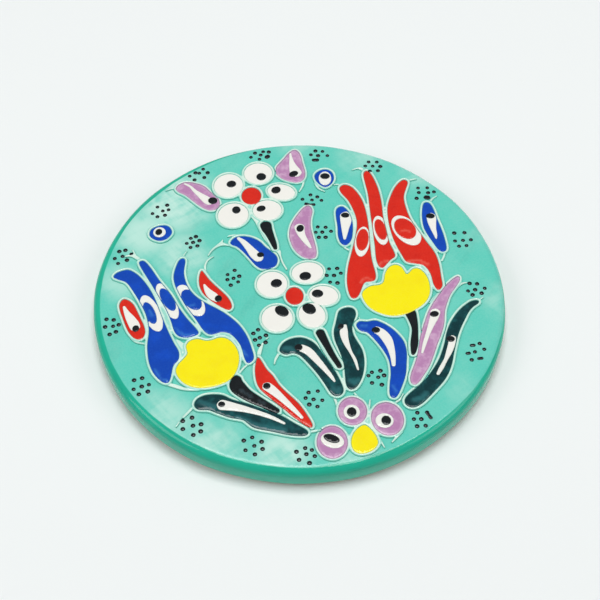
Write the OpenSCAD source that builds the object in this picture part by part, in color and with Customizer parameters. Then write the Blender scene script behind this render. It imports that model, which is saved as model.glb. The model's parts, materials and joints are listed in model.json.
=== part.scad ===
// Hand painted ceramic disc: a flat fired-clay round with a turquoise wash, raised lines of pale slip,
// and pools of coloured glaze inside the lines.
// The origin is the centre of the underside, +Z is up, and -Y is the edge under the small blossom.
// Lengths are in millimetres.

/* [Disc] */
// Diameter over the rim glaze
disc_d = 160; // [135:1:195]
// Thickness from the foot to the painted face
disc_h = 10; // [8:0.25:14]
// Radius of the rounded shoulder between the face and the wall
shoulder_r = 3; // [2:0.25:4]
// Radius of the rounded edge under the wall
foot_r = 2; // [1:0.25:2.5]

/* [Ground] */
// Thickness of the turquoise wash on the face and the wall
coat_t = 0.4; // [0.2:0.05:0.6]
// Height of the bare clay band between the foot rounding and the wall glaze
bare_h = 0.3; // [0.1:0.05:0.8]

/* [Relief] */
// Width of a raised slip line
slip_w = 1.1; // [0.8:0.05:1.4]
// Height of a slip line above the face
slip_h = 0.7; // [0.5:0.05:1]
// Height of a glaze pool above the face
pool_h = 0.45; // [0.25:0.05:0.6]
// Height of a second layer of glaze laid on a pool
drop_h = 0.25; // [0.15:0.05:0.4]
// Gap between a pool and the slip line round it
seam = 0.1; // [0.05:0.01:0.2]
// Diameter of a painted dot
dot_d = 1.55; // [1.2:0.05:1.8]
// Height of a painted dot above the face
dot_h = 0.3; // [0.15:0.05:0.4]

/* [Hidden] */
// The pattern is drawn for a disc of this diameter and grows with the disc
drawn_d = 160;
pattern = disc_d / drawn_d;
face_z = disc_h;
face_r = disc_d / 2 - shoulder_r;
pool_top = face_z + pool_h;
glaze_end = foot_r + bare_h;
// Segments between two drawn points of a curve, round an oval and round a quarter of an edge
steps = 3;
oval_steps = 20;
edge_steps = 8;
// Smallest radius of a slip line's corner
slip_corner = 0.2;
// Half width of the cracks that slip runs over
crack = 0.02;
// Share by which a dot's size strays from the rest
dot_change = 0.1;

TURQUOISE = "#63cdb9";
TEAL = "#2fa58f";
CLAY = "#e6dccb";
SLIP = "#dff3e8";
RED = "#d3261b";
BLUE = "#0a3fae";
GREEN = "#06373a";
VIOLET = "#bb86bd";
YELLOW = "#f2df12";
WHITE = "#f4f4ee";
BLACK = "#141416";

// ---- Drawn shapes ----
// A patch is a closed list of [x, y]; a stroke is a list of [x, y, half width];
// an oval is [x, y, radius along, radius across, turn].
// A leaf is [patch of the leaf, stroke of its white tear, oval of its black eye].

RED_PETALS = [
    [[17, 53.6], [18.6, 55.4], [21.5, 54.6], [24.2, 51], [26.2, 46.3], [27.4, 40.5], [28.1, 33], [28.4, 24],
     [28.8, 16], [30.1, 8.5], [29.2, 5.4], [25.6, 4.6], [24, 0.6], [22.5, -2.6], [20.5, -2.9], [19.3, 0.5],
     [18.9, 6], [19.6, 13], [21.3, 20.5], [22.9, 28], [23.7, 35], [22.7, 40.8], [20.5, 46.8], [17.8, 50.8]],
    [[27.1, 61.2], [28.2, 63.1], [29.9, 61.8], [31.8, 57], [33.2, 51], [33.9, 45], [34.2, 38], [35.2, 31],
     [36.1, 25], [37.6, 20.5], [38.1, 17.6], [36.2, 15.8], [34.5, 13.6], [33, 11.9], [31.6, 12.8],
     [30.7, 16.5], [30.5, 22], [30.1, 29], [29.6, 36], [29.1, 43], [28.7, 50], [27.7, 56.5]],
    [[42.3, 57.2], [44, 58.1], [45.2, 56.6], [44.1, 52.8], [43.1, 48.5], [43.7, 43], [45.2, 37], [48, 31],
     [51, 25], [54, 19.3], [55.3, 13.5], [55.7, 7], [55.9, 3], [54.2, 0.8], [52.6, 3.8], [51.8, 8.8],
     [49.4, 13], [45.6, 14], [42.6, 14.9], [40.9, 18.5], [38.6, 24.5], [37.1, 31], [36.3, 38],
     [36.5, 44], [38.3, 50.3], [40.3, 54.6]]];
RED_RINGS = [[25.4, 25.1, 7.8, 3, 83], [33, 30.9, 7.7, 3, 97], [43.3, 30.8, 8.5, 4.9, 118]];
RED_DROPS = [[25.5, 26, 5.7, 2.4, 83], [33, 31.3, 5.5, 2.2, 100], [42.9, 31.7, 5.7, 4, 115]];
RED_CUP = [[24.6, -2], [25.4, 0.8], [28.3, 2.9], [31.5, 3.4], [33.2, 5], [33.9, 8.8], [35.5, 12],
    [38, 13.3], [40.4, 12.2], [42, 8.9], [43.2, 9.1], [45, 11.2], [47.4, 11.2], [49.7, 8.4], [50.9, 4],
    [50.7, -1], [48.6, -5.3], [45, -8.4], [40.5, -10.8], [35.5, -11.5], [30.5, -9.9], [26.7, -6.8]];
RED_STEM = [[42.9, -10.4, 2], [43.7, -14, 1.5], [44.1, -17.5, 1.1], [43.9, -20.5, 1.15],
    [43.5, -24.5, 1.35], [43, -28, 0.9], [42.7, -29.2, 0.5]];
RED_SIDES = [
    [[[16.1, 43], [17.8, 43.6], [19.3, 42.3], [20.8, 39.5], [21.7, 35], [21.6, 30], [20.9, 26],
      [18.9, 23.4], [17, 24.4], [15.9, 28], [15.8, 33], [15.3, 38], [15.3, 41.2]],
     [[19.2, 38.6, 2.4], [19.1, 35.5, 2.2], [18.8, 32.5, 1.6], [18.6, 29.5, 1.1], [18.4, 26.6, 0.5]],
     [18.9, 38.9, 1.7, 1.4, 0]],
    [[[50.9, 44.2], [52.2, 45.7], [53.8, 44.8], [55, 41.5], [56, 37], [57.3, 32], [58.3, 27], [58.8, 21.5],
      [57.5, 19.9], [55.8, 20.8], [53.8, 24.6], [51.7, 29], [50.5, 33], [50.2, 38.5]],
     [[53.9, 38, 2], [53.9, 35, 1.7], [54.3, 31.5, 1.1], [54.9, 28.5, 0.7], [55.1, 26.6, 0.3]],
     [53.5, 38.3, 1.8, 1.4, 0]]];
RED_WHISKERS = [
    [[27.6, 62.6, 0.5], [26.3, 64.3, 0.75], [24.5, 64.6, 0.45], [22.4, 63.6, 0.3]],
    [[44.8, 57.2, 0.5], [46.7, 58.1, 0.5], [49, 58.5, 0.3]],
    [[17.6, 55.2, 0.5], [16, 55.7, 0.45], [14.4, 55.4, 0.3]],
    [[53.6, 45, 0.5], [54.6, 47.3, 0.5], [56.9, 49.2, 0.3]],
    [[58.4, 20.2, 0.5], [57.6, 17.6, 0.5], [56.6, 15.3, 0.5]],
    [[17.2, 23.6, 0.5], [18.8, 21.6, 0.5], [20.9, 20.4, 0.5]]];

BLUE_PETALS = [
    [[-72.6, 7.7], [-71.6, 9.6], [-69, 10.9], [-66.5, 11], [-63, 8.4], [-59.8, 4.3], [-56.9, -0.8],
     [-54.5, -6.5], [-52.5, -12], [-50.1, -18], [-47.4, -24], [-45.4, -27.8], [-45.3, -31.4],
     [-47.1, -34.2], [-47.7, -39], [-48.6, -41.7], [-51, -41], [-54.2, -37.2], [-56.2, -32],
     [-57.2, -25], [-57, -18], [-58.5, -11], [-61.2, -5], [-64.3, 0.6], [-67.2, 4.9], [-70.4, 6.4]],
    [[-63, 14.4], [-62.2, 15.7], [-60.7, 15.1], [-58, 11.4], [-55, 6.4], [-52, 2.2], [-49.2, -2],
     [-46.4, -7.3], [-43, -12.6], [-39.8, -16.6], [-38.3, -19.2], [-39.5, -20.4], [-42.6, -21.3],
     [-45.6, -20.6], [-47.4, -18.2], [-48.9, -13.5], [-51, -8.3], [-54, -2.5], [-57.2, 3.6], [-60.5, 9.4]],
    [[-47.7, 15], [-46.2, 16.8], [-45, 15.6], [-45.3, 9.5], [-43.6, 3.2], [-40.5, -1.5], [-36, -5.2],
     [-29.3, -9.5], [-23.6, -14.8], [-20, -20.6], [-18, -26.5], [-17.1, -31], [-19, -33.1],
     [-20.4, -30.8], [-22, -25], [-25.6, -20], [-29.4, -18.8], [-33.4, -20], [-36.1, -18.2],
     [-39.4, -12.8], [-43.2, -7], [-46.2, -1.2], [-48.4, 4.2], [-49, 9]]];
BLUE_RINGS = [[-56.7, -10, 9.3, 3.4, 113], [-50.9, -4.2, 9.4, 3, 115], [-41.9, -3.9, 8.7, 4.1, 123]];
BLUE_DROPS = [[-57.3, -9.9, 5.5, 2, 113], [-50.8, -3.5, 6, 2.2, 117], [-41.6, -3.6, 5.6, 3.1, 125]];
BLUE_CUP = [[-42.6, -25.4], [-41.9, -28.6], [-43.3, -31.2], [-45, -33.4], [-45.9, -36.4], [-44.6, -39.6],
    [-42, -42.3], [-38, -43.9], [-33, -43.7], [-28, -42], [-24.9, -39.4], [-23, -35.2], [-22.6, -30],
    [-24, -25.6], [-26.8, -22.3], [-30, -21.4], [-33.4, -22.7], [-35.8, -22.8], [-38.4, -22], [-41.3, -23]];
BLUE_STEM = [[-23.3, -40.3, 1.8], [-22.9, -43.4, 2.8], [-19.7, -46.8, 2.3], [-15.6, -49.6, 1.9],
    [-11.5, -52, 1.4], [-8.2, -54.1, 1]];
BLUE_SIDES = [
    [[[-68, -3.3], [-66, -3.8], [-64, -5.7], [-62.5, -8.6], [-60.7, -12.6], [-59.2, -16], [-58.6, -19],
      [-59.3, -21.4], [-60.8, -22.1], [-62.7, -21.3], [-64.6, -18.9], [-66, -16], [-67.5, -12],
      [-68.8, -8.5], [-69.2, -5.5]],
     [[-67.4, -7, 0.5], [-66.3, -9.5, 1], [-64.9, -12, 1.6], [-63.3, -14.7, 2], [-62.5, -16.4, 2]],
     [-62.2, -17.2, 1.5, 1.3, 80]],
    [[[-38.3, 10.6], [-37, 9], [-35.3, 6.4], [-33, 3.6], [-30.6, 1], [-28.3, -1.6], [-26.7, -4.2],
      [-26, -6.8], [-26.9, -8.4], [-29.3, -7.4], [-32.4, -5.2], [-35, -2.9], [-37.3, -0.2], [-38.7, 3.4],
      [-39, 7.4]],
     [[-36.9, 3.6, 0.4], [-36.1, 1.8, 0.9], [-34.8, -0.3, 1.5], [-33.2, -2, 1.8], [-31.6, -3.4, 1.4]],
     [-31.2, -3.1, 1.6, 1.4, 80]]];
BLUE_WHISKERS = [
    [[-62.4, 15.6, 0.6], [-65, 17.9, 0.9], [-67, 18.4, 0.6], [-69.4, 17.8, 0.3]],
    [[-64.4, 17.3, 0.5], [-65.5, 19.6, 0.5], [-66.2, 21.4, 0.3]],
    [[-46.2, 16.6, 0.5], [-45.5, 18.8, 0.4], [-44.4, 20.8, 0.25]],
    [[-64.4, -20.4, 0.5], [-61.8, -23.3, 0.5], [-58.2, -24.2, 0.45]],
    [[-33.8, 17.8, 0.3], [-36, 16, 0.45], [-37, 13, 0.5], [-36.6, 10, 0.55], [-35, 7.5, 0.5]],
    [[-18.7, -33.4, 0.4], [-20.7, -35.3, 0.5], [-22.4, -37.8, 0.5]],
    [[-46.4, -22.8, 0.7], [-44.3, -25, 1.2], [-43.6, -28, 1], [-44.2, -31, 0.7]],
    [[-50, -42, 0.5], [-46, -43.2, 0.9], [-42, -44.6, 0.7], [-37, -45, 0.5]]];

TOP_PETALS = [[-29, 55.3, 6.5, 6, 80], [-16.8, 62, 5.9, 5.8, 0], [-7.1, 51.7, 5.8, 4.2, -15],
    [-12.8, 41.9, 5.9, 5.4, 0], [-26.6, 39.3, 6.5, 6.2, 60]];
TOP_EYES = [[-27.8, 56.1, 2, 1.8, 20], [-15.5, 60.1, 2, 2, 0], [-9.3, 52.7, 2, 1.8, 40],
    [-15.3, 42.7, 1.9, 1.5, 25], [-25.4, 42, 1.9, 1.7, 90]];
TOP_HEART = [-19.4, 49.6, 4.6, 4, 90];
TOP_STEM = [[-13.3, 34, 2.2], [-12.8, 32, 2], [-12, 30, 1.6], [-10.9, 27, 1.25], [-9.9, 24, 1],
    [-9.3, 21.8, 0.6]];
TOP_WHISKERS = [
    [[-19.2, 38.6, 0.4], [-17.2, 35.6, 0.55], [-15.8, 32, 0.6], [-14, 28.6, 0.9], [-12.6, 26, 0.9],
     [-11.2, 23.2, 0.5]],
    [[-9.2, 21.4, 0.6], [-8, 20.3, 0.95], [-7.4, 18, 0.5], [-6.4, 14.6, 0.45], [-4.8, 11.2, 0.45]]];

CENTRE_PETALS = [[-10.5, 3.9, 6.3, 6, 80], [3.4, 9.6, 6.3, 5.2, 10], [9.6, -1.7, 5.7, 4.7, -10],
    [5, -11.1, 6, 5.1, 107], [-8.4, -12.6, 6.3, 6, 90]];
CENTRE_EYES = [[-8.8, 4.3, 2.2, 2, 20], [2.5, 7.8, 2.3, 2, 20], [7.2, -0.8, 2.2, 1.9, 0],
    [3.9, -8.1, 2.9, 2.3, -45], [-6.6, -9.2, 3, 2.2, -42]];
CENTRE_HEART = [-1.7, -1.9, 4.2, 3.4, 95];
CENTRE_STEM = [[8, -19.3, 1.6], [9.1, -22, 1.45], [10.6, -25.5, 1.2], [12.6, -30, 1.05], [14.5, -33.6, 0.9],
    [15, -34.8, 0.8]];
CENTRE_WHISKERS = [
    [[6.2, -20.6, 0.4], [8.1, -25, 0.6], [10.6, -30, 0.6], [13.4, -35.4, 0.5]],
    [[9.8, -18.4, 0.5], [8, -17.4, 0.5], [5, -18.2, 0.4]]];

VIOLET_LEAVES = [
    [[[-50.4, 53.6], [-49.2, 55.8], [-46.5, 57], [-42.5, 56.3], [-39, 54.6], [-36.4, 51.6], [-33.6, 48.6],
      [-32.4, 45.4], [-33.6, 42.8], [-36, 41.9], [-39.3, 43.5], [-43, 46.8], [-46.2, 50], [-49.2, 51.8]],
     [[-47.1, 56.2, 0.4], [-44.8, 54.8, 0.5], [-42.5, 52, 0.8], [-40, 49.6, 1.3], [-37.8, 47.5, 1.8],
      [-36.7, 46.2, 1.6]],
     [-35.2, 47, 1.9, 1.8, 0]],
    [[[-1.5, 75], [0.5, 72.5], [1.6, 67], [2.6, 62], [1.9, 58.6], [-0.4, 57], [-4, 57.7], [-7, 59.3],
      [-9.1, 62], [-9, 65.4], [-6.5, 69.2], [-4, 73]],
     [[-3.4, 73, 0.4], [-3.1, 70, 0.7], [-2.6, 67, 1.3], [-1.6, 63.6, 2.2], [-0.9, 62, 2.3]],
     [-2, 61.6, 2, 1.5, 30]],
    [[[4.4, 43.8], [5.4, 41], [4.6, 36.5], [4.7, 32], [5.6, 27], [6.7, 21.5], [6.4, 17.2], [3, 16.8],
      [-0.2, 19.2], [-2.4, 23], [-3.6, 28.5], [-2.8, 34], [-0.4, 39], [2.4, 43]],
     [[0.3, 32.6, 2.1], [0.9, 29.5, 1.6], [2.2, 26.5, 1.2], [3.6, 24, 0.9], [4.7, 22, 0.4]],
     [0.6, 32, 1.9, 1.5, 75]],
    [[[62.4, 7.2], [62.6, 5.2], [60.2, 1.2], [58.3, -2], [56.8, -6], [55.7, -10], [55.2, -15],
      [53.8, -20], [51.9, -25], [50.2, -30], [48.4, -34.6], [45.9, -39], [43.3, -42.6],
      [41.6, -42.3], [41.4, -39.4], [42.9, -35], [44.5, -30], [45.4, -25], [46.5, -20], [48.1, -15],
      [49.8, -10], [51.9, -5.8], [54.5, -1.6], [57.3, 2.6], [60, 5.6]],
     [[52.4, -10, 1.9], [51.7, -12.6, 1.6], [50.5, -15.6, 1.2], [48.9, -20, 0.85], [47.3, -24.8, 0.7],
      [46.2, -28.8, 0.4]],
     [51.9, -10.9, 1.75, 1.4, 15]]];
VIOLET_WHISKERS = [
    [[-50, 53.8, 0.4], [-52.4, 53.7, 0.4], [-54.8, 52.6, 0.25]],
    [[2.4, 59, 0.5], [1.7, 55, 0.5], [0.2, 51.6, 0.35]],
    [[66.2, 4.3, 0.3], [64, 4, 0.45], [62, 2.4, 0.5], [60, -0.4, 0.5]],
    [[46, -8.2, 0.35], [49, -6.2, 0.5], [52, -3.4, 0.55], [54.4, -0.4, 0.5], [56.6, 2.6, 0.4]]];

BLUE_LEAVES = [
    [[[-27.2, 25.2], [-25.5, 27.4], [-22.5, 28.1], [-19, 27.4], [-15.7, 25.4], [-13.6, 22.8], [-11, 20.3],
      [-9, 18], [-8.5, 15.5], [-9.3, 13], [-11.5, 11.8], [-14.5, 11.5], [-17, 13.4], [-19.1, 16.3],
      [-21.6, 19.7], [-24.4, 22.7], [-26.6, 23.7]],
     [[-24.2, 27, 0.6], [-22.2, 25.2, 1.1], [-19.8, 22, 1.5], [-17.6, 18.8, 2], [-15.9, 16.9, 2]],
     [-15.2, 18.5, 1.4, 1.3, 0]],
    [[[21.9, -16], [23.2, -14.2], [26, -14.4], [29, -13.8], [31.8, -15], [34.8, -17.2], [37.3, -20],
      [39.4, -23.5], [40.3, -28], [40, -33], [39.4, -38.5], [37.6, -44], [35.8, -47.9], [34.4, -48.6],
      [33.3, -47.2], [33.5, -42.8], [34.1, -38], [33.8, -32.8], [32.4, -28.8], [30.3, -25], [27.9, -21.5],
      [25.8, -19.2], [23.4, -18.5]],
     [[29.4, -18.3, 1.6], [31.3, -19.6, 1.8], [33.3, -22.6, 1.9], [34.5, -26.5, 1.4], [35.1, -30.5, 1],
      [35.2, -34.3, 0.7]],
     [29.2, -18.3, 1.6, 1.4, 0]]];
BLUE_LEAF_WHISKERS = [
    [[-28.6, 28, 0.3], [-26.6, 28.6, 0.5], [-23, 28.8, 0.5]],
    [[-26.4, 23.1, 0.5], [-29, 23.8, 0.55], [-31, 24.1, 1], [-32.8, 22.9, 0.6], [-34.6, 21, 0.5],
     [-36, 18.2, 0.3]],
    [[-31.2, 24.6, 0.6], [-30.3, 26.4, 0.3]],
    [[23.4, -13.8, 0.4], [23, -12.2, 0.3]]];

GREEN_LEAVES = [
    [[[-7.3, -27.6], [-6, -24.2], [-3, -22.2], [1, -21.7], [5, -23.6], [8, -27.5], [11.2, -33],
      [14, -38.5], [16, -44], [15.8, -46.6], [14, -47.8], [11.9, -46.8], [9.8, -43], [7.2, -38.5],
      [3.8, -33.7], [0.5, -29.8], [-2.5, -28.6], [-5, -29.3]],
     [[0.9, -26.5, 1.6], [3.6, -28.1, 1.65], [6.6, -31.9, 1.35], [9.5, -35.9, 1], [11.7, -39.1, 0.75],
      [13, -41.4, 0.4]],
     [-0.2, -26.2, 1.5, 1.5, 0]],
    [[[19.5, -7.6], [21.2, -8.6], [21.7, -11], [20.8, -14], [20.1, -17], [20.4, -20], [21.6, -23],
      [23.4, -26.8], [24.2, -31], [24, -36], [22.9, -40.4], [20.9, -44], [18.9, -44.9], [17.5, -43.2],
      [17.1, -39], [16.9, -35], [16.2, -31], [15, -27], [13.7, -23], [13.3, -19], [14, -15.4],
      [14.7, -12], [15.4, -9.4], [17.2, -8]],
     [[17.5, -16.3, 0.7], [17, -18.6, 1.5], [17.2, -21.5, 1.4], [18.1, -25, 1], [19.4, -28.5, 0.55],
      [20.9, -32, 0.6], [21.9, -36.3, 0.35]],
     [15.9, -16.6, 1.3, 1.1, 60]],
    [[[69, -4.4], [66.8, -4.7], [64.6, -6.2], [61.9, -8.8], [59.6, -12], [57.6, -15.6], [56.1, -19.6],
      [55.1, -24], [53.8, -28.2], [52.3, -32], [50.3, -35.6], [47.4, -39.8], [43.8, -43.8],
      [40.5, -46.9], [38.8, -49.2], [38.8, -51.2], [40.3, -52.6], [42.4, -52.6], [45, -50.9],
      [47.4, -48.4], [50.5, -44.9], [53.5, -41.2], [55.6, -37.4], [57, -33.4], [58, -29], [59, -25],
      [60.1, -21], [61.6, -17], [63.4, -13.2], [65, -10], [66.8, -7.6], [69.2, -5.6]],
     [[58, -22.2, 1.4], [57.5, -25, 1.3], [56.3, -28.5, 1.1], [54.8, -32, 0.7], [53, -35.5, 0.8],
      [51.5, -38.3, 0.6]],
     [57.3, -22.6, 1.6, 1.4, 0]],
    [[[-38.3, -51.6], [-37.6, -49.2], [-35, -47.5], [-31.5, -47], [-28, -47.4], [-24.5, -49.3],
      [-19, -51], [-13.5, -53.3], [-7, -56], [-1.5, -59.7], [2.5, -62.3], [2.8, -64], [0.8, -64.7],
      [-4, -64.2], [-10, -62.7], [-16, -61.3], [-18.4, -59.5], [-20.5, -57.8], [-25, -56.9],
      [-30, -54.9], [-33, -53.6], [-36.8, -53.4]],
     [[-28.2, -51.6, 2.2], [-25, -52.2, 1.8], [-20, -53.4, 1.3], [-15, -55, 0.95], [-10, -57, 0.75],
      [-5.5, -59.5, 0.45]],
     [-28.4, -51.3, 1.3, 1.2, 0]]];
GREEN_WHISKERS = [
    [[-7.2, -28, 0.5], [-8.4, -30.4, 0.6], [-9, -32, 0.5], [-9.3, -33.8, 0.3]],
    [[-38.4, -51.8, 0.5], [-40.4, -54.6, 0.6], [-42.8, -57.6, 0.45], [-44.6, -60.8, 0.3]],
    [[2.8, -63, 0.4], [5.2, -62.8, 0.6], [7.6, -62.2, 0.4]],
    [[69.2, -4.8, 0.4], [70.4, -3.6, 0.35], [71.6, -2.8, 0.25]]];

RED_LEAVES = [
    [[[-15.4, -30.6], [-14, -32.6], [-12.2, -36], [-9.9, -38.8], [-7.6, -42.8], [-4.2, -46.8],
      [-0.5, -50.8], [2.5, -55.5], [4.5, -59.6], [4.3, -61.1], [2.4, -60.3], [-2, -56.8], [-6.6, -52.2],
      [-11.8, -47.4], [-15.1, -43.4], [-16.3, -38], [-16.2, -33.5]],
     [[-12, -43.5, 1.8], [-9.8, -45.3, 1.7], [-6.2, -49, 1.3], [-2.5, -53.1, 0.95], [0.9, -57.1, 0.55]],
     [-12, -43.4, 1.4, 1.4, 0]]];
RED_LEAF_WHISKERS = [
    [[-15.3, -31, 0.7], [-14.9, -28, 0.9], [-14.1, -25.4, 0.6], [-13.2, -23.2, 0.4], [-11.6, -21.4, 0.3]]];

BLOSSOM_DISCS = [[19.3, -54.4, 5.8, 5.1, 90], [31.9, -57.7, 6.9, 5.7, 100], [11.7, -67.4, 6.6, 5.4, 90]];
BLOSSOM_RINGS = [[19, -54.8, 3.1, 3, 90], [30.8, -58.5, 3.3, 3.1, 0], [11.8, -66.7, 4.3, 3.1, -20]];
BLOSSOM_EYES = [[19, -54.8, 2, 1.7, 90], [31.4, -58.4, 1.9, 1.7, 90], [11.5, -65.9, 3, 1.6, -22]];
BLOSSOM_HEART = [[23.5, -60.2], [25.8, -62.2], [27.7, -65.5], [27.9, -68.3], [25.8, -70.8], [22.4, -72],
    [19.8, -71.2], [18.6, -68.5], [19, -64.9], [20.9, -61.8]];
BLOSSOM_WHISKERS = [
    [[25.9, -49.4, 0.35], [25.4, -53, 0.5], [24.8, -57, 0.5], [24.6, -60.6, 0.5]],
    [[24.4, -60.4, 0.5], [27.6, -63.8, 0.55], [29.1, -67, 0.45], [30.4, -69.8, 0.3]],
    [[37, -63.2, 0.4], [35, -65.2, 0.5], [33, -67.6, 0.3]],
    [[11.4, -47.4, 0.4], [13.2, -49.6, 0.55], [13.8, -53, 0.5]],
    [[35.4, -50.6, 0.5], [37.4, -48.6, 0.7], [38.2, -46.8, 0.4]],
    [[20.2, -46.6, 0.4], [21.6, -48.4, 0.5], [23.4, -50, 0.5]]];

BEADS = [
    [[-57.5, 33.2], [-54.5, 34], [-52.2, 33], [-51.1, 30.2], [-52.5, 27.5], [-55, 26], [-58, 26.8],
     [-59.8, 28.8], [-59.5, 31.6]],
    [[11.5, 64], [13.8, 62.5], [14.6, 59.5], [13.8, 56.6], [11.3, 54.3], [9, 55.6], [7.3, 58], [6.8, 60.8],
     [8.6, 63.2]]];
BEAD_RINGS = [[-56, 30.3, 2.6, 2.5, 90], [11, 59, 3.8, 2.6, 90]];
BEAD_EYES = [[-56.3, 30.4, 1.6, 1.3, 80], [11, 60.2, 1.9, 1.6, 0]];
BEAD_WHISKERS = [[[6.8, 58, 0.4], [7.1, 55.8, 0.5], [8.5, 53.4, 0.5], [10.9, 51.8, 0.3]]];

// Clusters of dots, six round one, set by hand
CLUSTERS = [
    [[-71.5, 20.9], [-69.1, 21.5], [-66.6, 19.5], [-68.1, 16.5], [-71.5, 14.8], [-73, 17.3], [-70, 18.4]],
    [[-43.3, 27.5], [-41.3, 28.4], [-39.8, 26.3], [-40.5, 23.6], [-43.2, 22.8], [-44.8, 24.9], [-42.3, 25.4]],
    [[-57.7, 44.1], [-53.8, 45.1], [-53.1, 42.6], [-54.4, 39.7], [-57.4, 38.9], [-59.5, 40.6], [-55.4, 42]],
    [[-44, 64.3], [-40.1, 65.3], [-37.9, 62.9], [-39.2, 60.2], [-43.2, 58.9], [-45.3, 61], [-41.4, 62.6]],
    [[-20, 71.5], [-18.6, 75], [-15.1, 75.6], [-12.5, 74.5], [-16.4, 70.4], [-15.9, 72.8]],
    [[7.2, 75], [10.2, 74.7], [12.2, 72.3], [5.3, 72.8], [8.3, 72.3]],
    [[29.5, 68.6], [32.9, 68.5], [34.3, 66], [33.2, 63.6], [29.9, 63.4], [28, 66.3], [31.1, 66.2]],
    [[49.4, 53.9], [53.2, 54], [56.1, 52], [48.5, 48.3], [49.6, 51.4], [53.4, 51.3]],
    [[4.9, 50.4], [7.7, 49.3], [9.4, 47.4], [1.6, 48], [5.5, 47.6]],
    [[7.7, 33.2], [10.9, 33], [13, 30.9], [10.8, 27.8], [8.1, 27.8], [6.9, 30.4], [9.5, 30.5]],
    [[11.9, 11.7], [15.1, 11.9], [16.5, 9.5], [15.1, 4.7], [12.2, 5.1], [11, 8.4], [13.8, 8.4]],
    [[-25.3, 11.1], [-23.4, 8.2], [-23.8, 5.4], [-26.6, 3.8], [-28, 6.5], [-28, 9], [-25.6, 7.2]],
    [[-15.6, -17.6], [-12.6, -20.2], [-12.7, -23.5], [-15.2, -24.8], [-16.7, -22.3], [-17.4, -19.3],
     [-14.9, -21.3]],
    [[62.6, 29.7], [66.7, 29.9], [69, 26.2], [67, 23.2], [64, 22.9], [62.6, 25.6], [65.8, 25.9]],
    [[66.7, 4.2], [69.6, 4], [72.4, 1.8], [71, -0.6], [67.4, -1.4], [65.8, 0.5], [68.6, 1.1]],
    [[68.2, -24.4], [69.7, -27], [64.6, -31.8], [66.1, -28.2]],
    [[27, -37.2], [30.2, -36.5], [31.5, -38.6], [30.5, -42.7], [26.9, -41.9], [25.7, -38.7], [29.3, -39.4]],
    [[6.8, -45.4], [3.4, -46], [2.3, -48.4], [3.6, -51.2], [6.6, -52.1], [8.4, -49.4], [5.2, -49]],
    [[42.9, -54.9], [45.6, -60.4], [42.5, -60.6], [41.5, -57.6], [44.2, -57.6]],
    [[-39, -56.6], [-35.6, -59.4], [-35.6, -62.4], [-38.2, -63.9], [-42.1, -61.4], [-42.3, -58], [-38.5, -60]],
    [[-61.2, -40.3], [-58.3, -39.4], [-55.6, -42.3], [-55.8, -45.3], [-59, -46.5], [-61.1, -44.3],
     [-58.2, -43.1]],
    [[-73.8, -12.4], [-71, -12.7], [-68.9, -15], [-69.7, -18.3], [-72, -19.5], [-74, -16], [-71, -15.7]],
    [[-20, -66.3], [-17, -65], [-13.6, -66.8], [-13.2, -69.8], [-15.9, -72], [-19.3, -70.3], [-16.2, -68.5]],
    [[2, -69.5], [4.4, -70.3], [5.4, -72.8], [3.5, -75.6], [-0.2, -74.3], [-1.1, -71], [2.4, -72]]];
// Dots that the brush made large or dragged into the next one
SMEARS = [
    [[3, 45.4, 0.85], [4.6, 45.2, 0.4], [6.3, 45.1, 0.75]],
    [[6.3, 69.7, 0.8], [8, 69.8, 0.85]],
    [[46.4, -54.7, 0.8], [47, -55.9, 0.6], [47.7, -57.1, 0.75]],
    [[-13.4, 71.5, 1], [-12.8, 72, 1]],
    [[52.3, 48.7, 1.1], [53.2, 48.6, 1.15]],
    [[64.9, -25.3, 0.65], [66, -25.2, 0.7]],
    [[67.2, -31.3, 0.65], [68.5, -31.1, 0.65]],
    [[63, -28.9, 0.65], [63.9, -28.8, 0.7]]];

// ---- Curves and flat shapes ----

function blend(a, b, c, d, t) = 0.5 * (2 * b + (c - a) * t + (2 * a - 5 * b + 4 * c - d) * t * t
    + (3 * b - a - 3 * c + d) * t * t * t);

function closed_curve(p) = let (n = len(p))
    [for (i = [0 : n - 1], s = [0 : steps - 1])
        pattern * blend(p[(i + n - 1) % n], p[i], p[(i + 1) % n], p[(i + 2) % n], s / steps)];

function open_curve(p) = let (n = len(p) - 1)
    [for (i = [0 : n - 1], s = [0 : (i == n - 1 ? steps : steps - 1)])
        pattern * blend(p[max(i - 1, 0)], p[i], p[i + 1], p[min(i + 2, n)], s / steps)];

function flat(p) = [p[0], p[1]];
function heading(c, i) = let (a = c[max(i - 1, 0)], b = c[min(i + 1, len(c) - 1)])
    atan2(b[1] - a[1], b[0] - a[0]);
function beside(p, angle) = flat(p) + p[2] * [cos(angle), sin(angle)];
function cap(p, angle) = [for (a = [60, 0, -60]) beside(p, angle + a)];

module patch(points) {
    polygon(closed_curve(points));
}

module stroke(points) {
    c = open_curve(points);
    n = len(c) - 1;
    polygon(concat(
        [for (i = [0 : n]) beside(c[i], heading(c, i) + 90)],
        cap(c[n], heading(c, n)),
        [for (i = [n : -1 : 0]) beside(c[i], heading(c, i) - 90)],
        cap(c[0], heading(c, 0) + 180)));
}

module oval(o) {
    polygon([for (s = [0 : oval_steps - 1]) let (a = 360 * s / oval_steps)
        pattern * [o[0] + o[2] * cos(a) * cos(o[4]) - o[3] * sin(a) * sin(o[4]),
                   o[1] + o[2] * cos(a) * sin(o[4]) + o[3] * sin(a) * cos(o[4])]]);
}

module patches(list) {
    for (p = list) patch(p);
}

module strokes(list) {
    for (p = list) stroke(p);
}

module ovals(list) {
    for (o = list) oval(o);
}

// The shapes of a list of leaves: 0 the leaf, 1 its tear, 2 its eye
module leaf_patches(leaves) {
    for (l = leaves) patch(l[0]);
}

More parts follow.
